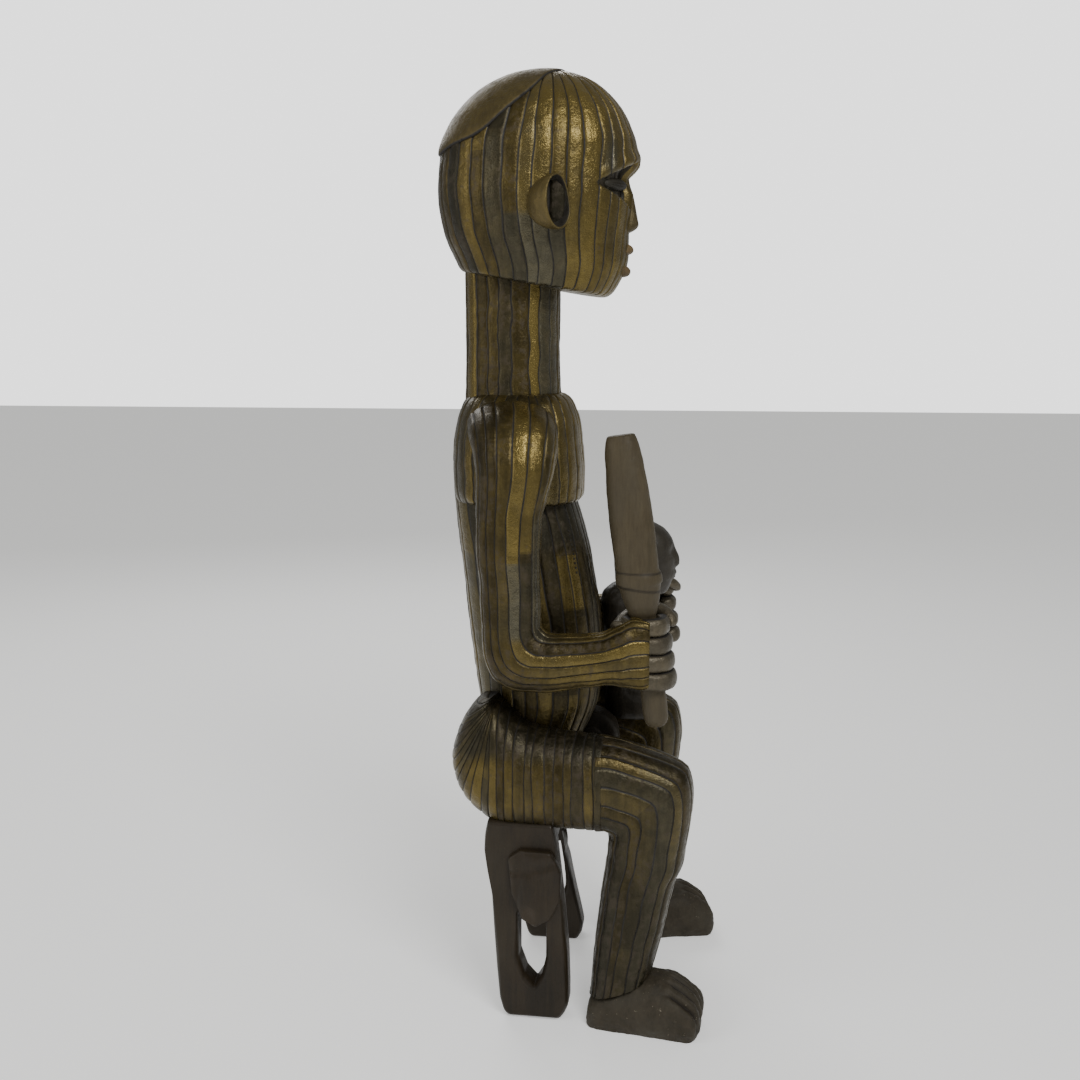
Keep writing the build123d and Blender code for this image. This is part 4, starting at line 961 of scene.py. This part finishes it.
def thigh_paint(middle, number, tone, warmth):
    """Dark grey-brown on top, from dust and painted shade along the hip crease, gold-brown along the side,
    duller underneath.
    """
    z, x = middle[..., 2], middle[..., 0]
    # Painted shade, with dust, darkens and greys the top of the thigh.
    top = smooth(285, 305, z)
    low = smooth(245, 222, z)
    return tone * (1 - 0.45 * top) * (1 - 0.25 * low), warmth * (1 - 0.55 * top) + 0.1 * smooth(30, -30, x)


def shin_paint(middle, number, tone, warmth):
    """Silver-grey over the front of the knee and shin, browner at the sides."""
    x, z = middle[..., 0], middle[..., 2]
    front = smooth(110, 140, x + (SEAT - np.minimum(z, SEAT)) * 0.12)
    low = smooth(230, 120, z)
    tone = np.clip(tone * (0.62 - 0.3 * low) + 0.05 * front, 0, 1)
    return tone, warmth * (1 - 0.3 * front) * (1 - 0.2 * low)


def ankle_cut(heel):
    """Ends the shin's metal on a plane that slants up over the foot: what lies below is drawn up to it."""
    (x1, z1), (x2, z2) = SHIN_METAL

    def raised(points, outward):
        plane = z1 + (z2 - z1) * np.clip((points[..., 0] - heel - x1) / (x2 - x1), -0.2, 1.2)
        gap = points[..., 2] - plane
        height = plane + np.where(gap > 2, gap, 2 * np.exp(np.minimum(gap, 2) / 2 - 1))
        return np.concatenate([points[..., :2], height[..., None]], axis=-1)

    return raised


# Side, name, knee ahead, knee higher, heel ahead, ankle further out, splay in degrees.
LEGS = ((-1, "right", 174, 0, 67, 8, 6), (1, "left", 158, 22, 78, 28, 16))


def build_legs():
    for side, name, reach, rise, heel, drift, splay in LEGS:
        rings = strip_skin(thigh_sleeve(side, reach, rise), 24, 43 + side, across_limb=True, longest=120,
                           gold=0.1, grey=0.12, paint=thigh_paint, spread=0.16, wander=0.07, seam=0.8)
        wood_and_rings = [name + tail for tail in ("_leg_core", "_buttock_rings", "_thigh_rings")]
        piece(name + "_thigh_sheathing", [rings], STRIPS, wood_and_rings)
        skin = strip_skin(shin_sleeve(side, reach, rise, heel, drift), 18, 47 + side, longest=170,
                          gold=0.06, grey=0.3, paint=shin_paint, shape=ankle_cut(heel), spread=0.2,
                          dents=1.2, pitch=2.4)
        piece(name + "_shin_sheathing", [skin], STRIPS, [name + "_knee_cap", name + "_shin_strips"])
        foot = foot_patch(side, heel, drift, splay)
        piece(name + "_foot_carved", [foot], FOOT_WOOD, [name + "_foot"])


FOOT_LENGTH, FOOT_WIDTH = 122.0, 70.0
TOES = (-0.36, -0.16, 0.03, 0.2)      # grooves between toes, from the outer side


def foot_patch(side, heel, drift, splay):
    """A foot with a flat sole: sections along it, turned by its splay, with grooves that part five toes."""
    turn = radians(side * splay)
    forward, across = np.array([cos(turn), sin(turn), 0]), np.array([-sin(turn), cos(turn), 0])
    origin = np.array([heel - 1, side * (KNEE_SIDE + drift), 0])
    rows = []
    for share, top, half in ((0.0, 18, 0.2), (0.012, 22, 0.28), (0.05, 31, 0.38), (0.15, 38, 0.44),
                             (0.42, 52, 0.47), (0.56, 58, 0.49), (0.71, 57, 0.5),
                             (0.82, 50, 0.505), (0.91, 42, 0.49), (0.97, 34, 0.45), (0.992, 26, 0.38),
                             (1.0, 18, 0.28)):
        low = -12.0 + 14 * smooth(0.93, 1.0, share)
        middle = origin + forward * share * FOOT_LENGTH + np.array([0, 0, (top + low) / 2])
        rows.append([*middle, 0, 0, (top - low) / 2, *(across * half * FOOT_WIDTH), 2.4])

    def toes(points, outward):
        local = points - origin
        run, aside = local @ forward, side * (local @ across) / FOOT_WIDTH
        cut = sum(bump(aside, -place, 0.035) for place in TOES)
        round_top = sum(bump(aside, -(a + b) / 2, 0.07) for a, b in zip((-0.5,) + TOES, TOES + (0.46,)))
        toe = smooth(0.66, 0.8, run / FOOT_LENGTH)
        return toe * (0.9 * round_top - 4.2 * cut) * smooth(3, 14, points[..., 2])

    # Painted shade in the grooves between the toes.
    def toe_groove_shade(points):
        local = points - origin
        aside = side * (local @ across) / FOOT_WIDTH
        cut = sum(bump(aside, -place, 0.03) for place in TOES)
        toe = smooth(0.68, 0.8, (local @ forward) / FOOT_LENGTH)
        return np.clip(cut, 0, 1) * toe * smooth(2, 10, points[..., 2])

    patch = ridge(Sleeve(rows), 0.5, 0.5, 150, 1.6, 0.7, 91, form=toes, grime_and_shade=toe_groove_shade)
    points = patch["points"]
    height = points[..., 2]
    pressed = 1.5 * np.exp(np.minimum(height, 1.5) / 1.5 - 1) - 0.55
    points[..., 2] = np.maximum(np.where(height > 1.5, height, pressed), 0.0)
    return patch


# --- Stool ----------------------------------------------------------------------------------------
STOOL_HALF, STOOL_PANEL = 106.0, 34.0
RIGHT_PANEL = [(-41.6, 224), (-45, 208), (-46, 190), (-43, 168), (-38, 140), (-36, 100), (-33, 54),
               (-30, 20), (-25.5, 5), (-21, 0),
               (36, 0), (41, 7), (45.2, 17), (45.2, 38), (44, 75), (38.5, 136), (33, 182), (28, 224)]
LEFT_PANEL = [(-41.6, 224), (-46, 190), (-38, 140), (-33, 54), (-30, 20), (-25.5, 5), (-21, 0),
              (35, 0), (41, 10), (42.3, 18), (38.4, 37), (32, 66), (24.4, 103), (14, 135), (8, 170),
              (6, 224)]
PANEL_HOLE = [(6, 126), (-5, 126), (-9, 118), (-9, 70), (-2, 50), (8.4, 38), (16, 50), (20.5, 70),
              (21, 118), (17, 126)]


def resample(outline, count, start_angle, centre):
    """Points evenly spaced round a closed outline, starting where it lies in one direction from a centre."""
    loop = np.array(outline + outline[:1], dtype=float)
    run = np.concatenate([[0], np.cumsum(np.linalg.norm(np.diff(loop, axis=0), axis=1))])
    fine = np.linspace(0, run[-1], 4000, endpoint=False)
    dense = np.stack([np.interp(fine, run, loop[:, k]) for k in (0, 1)], axis=1)
    angles = np.arctan2(dense[:, 1] - centre[1], dense[:, 0] - centre[0])
    first = np.argmin(np.abs(np.angle(np.exp(1j * (angles - start_angle)))))
    picked = dense[(first + np.arange(count) * len(dense) // count) % len(dense)]
    for _ in range(2):
        picked = (np.roll(picked, 1, axis=0) + 2 * picked + np.roll(picked, -1, axis=0)) / 4
    return picked


def panel_patch(outline, start, end):
    """An upright board with a pointed hole: rings from the hole to the rim, once round its cross-section.
    A point is hole + (rim - hole) * share, at a depth that runs front face, edge, back face, hole wall."""
    count = 300
    centre = (6.0, 85.0)
    rim, hole = resample(outline, count, -pi / 2, centre), resample(PANEL_HOLE, count, -pi / 2, centre)
    wide = 0.5 - 0.5 * np.cos(np.linspace(0, pi, 34))
    share = np.concatenate([wide, np.full(12, 1.0), wide[::-1], np.full(12, 0.0)])
    deep = np.concatenate([np.zeros(34), np.linspace(0.06, 0.94, 12), np.ones(34),
                           np.linspace(0.94, 0.06, 12)])
    size = np.linalg.norm(rim - hole, axis=1)[None, :]
    round_off = 5.0 / size
    inward = np.clip((np.abs(deep - 0.5) * 2 - 0.55) / 0.45, 0, 1) ** 2
    share = share[:, None] * (1 - 2 * round_off * inward[:, None]) + round_off * inward[:, None]
    flat = hole[None] + (rim - hole)[None] * share[..., None]
    y = np.broadcast_to((start + (end - start) * deep)[:, None], share.shape)
    points = np.stack([flat[..., 0], y, np.maximum(flat[..., 1], 0)], axis=-1)
    rough = 0.9 * lumps(points, 33, 5) + 0.4 * lumps(points, 11, 6)
    on_face = np.where(deep < 0.5, -1.0, 1.0) * (np.abs(deep - 0.5) > 0.49)
    points[..., 1] += rough * (on_face[:, None] * np.sign(end - start)) * 0.7
    # Painted shade on the hole's wall and round its edge.
    hole_shade = smooth(0.12, 0.0, share) * 0.4
    return grid(points, 0.5, 0.5, hole_shade, closed=True)


def build_stool():
    right = panel_patch(RIGHT_PANEL, -STOOL_HALF, STOOL_PANEL - STOOL_HALF)
    left = panel_patch(LEFT_PANEL, STOOL_HALF, STOOL_HALF - STOOL_PANEL)
    rows = []
    for y in np.linspace(-76, 76, 25):
        low = 138 + 44 * max(0.0, 1 - (y / 74) ** 2) ** 0.5
        rows.append([-9, y, (low + 224) / 2, 36, 0, 0, 0, 0, (224 - low) / 2, 5])
    bridge = ridge(Sleeve(rows), 0.45, 0.5, 90, 3, 0.5)
    piece("stool_carved", [right, left, bridge], STOOL_WOOD, ["stool"])
    for side, name in ((-1, "stool_right_boss"), (1, "stool_left_boss")):
        piece(name + "_carved", [boss_patch(side)], STOOL_WOOD, [name])


BOSS_OUTLINE = [(-18.5, 186), (-6, 195), (27, 194), (38, 172), (37, 140), (27, 119), (11, 110), (-4, 118),
                (-15, 148)]


def boss_patch(side):
    """A low carved block on the panel: its outline drawn in as it rises, a brow across it, a snout down its
    middle with a broken tip."""
    count, shift = 160, 0 if side < 0 else -14
    centre = (9.0, 153.0)
    outline = resample(BOSS_OUTLINE, count, -pi / 2, centre)
    share = np.array([1.0, 1.0, 0.995, 0.98, 0.95, 0.9, 0.82, 0.72, 0.6, 0.48, 0.36, 0.24, 0.12, 0.03])
    out = np.array([-3.0, 2.0, 5.5, 7.8, 9.2, 10.0, 10.5, 10.8, 11.0, 11.1, 11.2, 11.2, 11.2, 11.2])[:, None]
    flat = np.array(centre) + (outline[None] - np.array(centre)) * share[:, None, None]
    x, z = flat[..., 0], flat[..., 1]
    raised = smooth(6, 10, out)
    snout = 2.6 * bump(x, 8 - (z - 110) * 0.03, 12) * smooth(178, 150, z)
    brow = -2.4 * bump(z, 176 + 0.25 * (x - 8), 3.4) - 1.8 * bump(x, -8 + (z - 150) * 0.1, 3)
    broken = -3.4 * bump(z, 121, 8) * bump(x, 5, 6)
    depth = out + (snout + brow + broken - 1.8) * raised
    points = np.stack([x + shift, side * (STOOL_HALF + np.minimum(depth, 12.0)), z], axis=-1)
    points[..., 1] += side * 0.5 * lumps(points, 9.0, 96) * raised
    chip = bump(z, 121, 6) * bump(x, 4, 4.5)
    return grid(points, 0.55 + 2.2 * chip[:-1], 0.5, 0.0)


# --- Child and lap boss ---------------------------------------------------------------------------
CHILD_SIDE = 47.0          # the child's middle from the middle plane
CHILD_FOOT, CHILD_NECK = 300.0, 454.0


def build_child():
    rows = [level(CHILD_FOOT + share * (CHILD_NECK - CHILD_FOOT), back, front, half, CHILD_SIDE, 2.3)
            for share, back, front, half in (
        (0.0, 76, 128, 22), (0.05, 72, 134, 26), (0.14, 70, 138, 28), (0.3, 70, 131, 27),
        (0.5, 69, 122, 25), (0.7, 67, 119, 26), (0.86, 64.5, 117.5, 26.5),
        (0.93, 66, 113, 22), (0.97, 72, 110, 16), (1.0, 78, 107, 12))]
    body = ridge(Sleeve(rows), 0.45, 0.5, 80, 1.8, 0.6, 97)
    piece("child_body_carved", [body], CHILD_WOOD, ["child_body"])
    rows = [level(CHILD_NECK + rise, back, front, half, CHILD_SIDE, 2.3) for rise, back, front, half in (
        (-12, 90, 128, 12), (-8, 85, 138, 18), (4, 80.5, 144, 24), (18, 79, 147.5, 27.5),
        (32, 78.5, 148, 29), (46, 80, 146, 29), (58, 84.5, 139.5, 25),
        (66, 92, 131, 18), (70.5, 101, 121, 9), (71.6, 107, 115, 4))]
    head = ridge(Sleeve(rows), 0.5, 0.5, 90, 1.6, 0.4, 98, form=child_face)
    piece("child_head_carved", [head], CHILD_WOOD, ["child_head"])


def child_face(points, outward):
    """A small carved face looking forward: sunken eyes, nose and mouth."""
    x, y, z = points[..., 0], points[..., 1] - CHILD_SIDE, points[..., 2]
    front = smooth(112, 134, x)
    nose = 4.5 * bump(y, 0, 4.5) * smooth(502, 480, z) * smooth(472, 478, z)
    eyes = -2.6 * (bump(y, 11, 7) + bump(y, -11, 7)) * bump(z, 492, 6)
    mouth = 2.2 * bump(y, 0, 9) * (bump(z, 468, 2.6) + bump(z, 463, 2.4))
    return front * (nose + eyes + mouth)


def build_boss():
    patches = []
    for radius, deep in ((30.5, 15.5), (15.0, 17.0)):
        rows = [[58, 15 + y * deep, 285, radius * size, 0, 0, 0, 0, radius * size, 2.0] for y, size in (
            (-1, 0.7), (-0.94, 0.86), (-0.75, 0.96), (-0.4, 1), (0.4, 1), (0.75, 0.96), (0.94, 0.86),
            (1, 0.7))]
        patches.append(ridge(Sleeve(rows), 0.5, 0.5, 72, 1.5, 0.5, 99))
    piece("lap_boss_carved", patches, DARK_WOOD, ["lap_boss"])


# --- Everything together --------------------------------------------------------------------------
build_head()
build_trunk()
build_arms()
build_hands()
build_club()
build_legs()
build_stool()
build_child()
build_boss()


# --- Floor, light and camera ----------------------------------------------------------------------
def plain(name, colour, roughness, glow=0.0):
    maker = Maker(name)
    shader = maker.add("ShaderNodeBsdfPrincipled", {}, {"Base Color": (*colour, 1.0), "Roughness": roughness,
                                                      "Emission Color": (*colour, 1.0),
                                                        "Emission Strength": glow})
    maker.add_output(shader)
    return maker.material


def area_light(name, place, target, size, power, colour=(1.0, 1.0, 1.0)):
    light = bpy.data.lights.new(name, "AREA")
    light.shape = "RECTANGLE"
    light.size, light.size_y = size
    light.energy = power
    light.color = colour
    thing = bpy.data.objects.new(name, light)
    bpy.context.collection.objects.link(thing)
    thing.location = place
    thing.rotation_euler = (Vector(target) - Vector(place)).to_track_quat("-Z", "Y").to_euler()


AMBIENT, BACKDROP = 0.36, 2.6     # the surroundings' strength as light, and as seen
FLOOR_REACH = 12.0


def build_stage():
    mesh = bpy.data.meshes.new("floor")
    corners = [(x * FLOOR_REACH, y * FLOOR_REACH, 0) for x, y in ((-1, -1), (1, -1), (1, 1), (-1, 1))]
    mesh.from_pydata(corners, [], [(0, 1, 2, 3)])
    mesh.materials.append(plain("pale floor", (0.86, 0.86, 0.85), 0.8, 0.42))
    floor = bpy.data.objects.new("floor", mesh)
    bpy.context.collection.objects.link(floor)
    world = bpy.data.worlds.new("studio")
    world.use_nodes = True
    nodes, links = world.node_tree.nodes, world.node_tree.links
    ambient = nodes["Background"]
    ambient.inputs["Color"].default_value = (1.0, 1.0, 0.98, 1.0)
    ambient.inputs["Strength"].default_value = AMBIENT
    seen, mix, path = (nodes.new("ShaderNode" + kind) for kind in ("Background", "MixShader", "LightPath"))
    seen.inputs["Strength"].default_value = BACKDROP
    links.new(path.outputs["Is Camera Ray"], mix.inputs[0])
    links.new(ambient.outputs[0], mix.inputs[1])
    links.new(seen.outputs[0], mix.inputs[2])
    links.new(mix.outputs[0], nodes["World Output"].inputs["Surface"])
    bpy.context.scene.world = world
    middle = (AXIS_X, AXIS_Y, 0.55)
    area_light("key", (AXIS_X + 0.9, AXIS_Y - 1.5, 2.0), middle, (0.9, 0.9), 34)
    area_light("fill", (AXIS_X - 1.7, AXIS_Y - 1.3, 1.2), middle, (1.2, 1.2), 12)
    area_light("back", (AXIS_X - 0.8, AXIS_Y + 1.9, 1.9), middle, (1.5, 1.0), 22)


CAMERA_AHEAD, CAMERA_ASIDE, CAMERA_HEIGHT = 0.1818, -1.2925, 0.722
CAMERA_TILT, CAMERA_TURN = 80.72, 8.0     # degrees from straight down, and round from straight at the side


def build_camera():
    camera = bpy.data.objects.new("camera", bpy.data.cameras.new("camera"))
    bpy.context.collection.objects.link(camera)
    camera.location = (AXIS_X + CAMERA_AHEAD, AXIS_Y + CAMERA_ASIDE, CAMERA_HEIGHT)
    camera.rotation_euler = (radians(CAMERA_TILT), 0, radians(CAMERA_TURN))
    camera.data.lens, camera.data.sensor_width = 40, 36
    camera.data.clip_start = 0.01
    camera.data.dof.use_dof = False
    bpy.context.scene.camera = camera


build_stage()
build_camera()
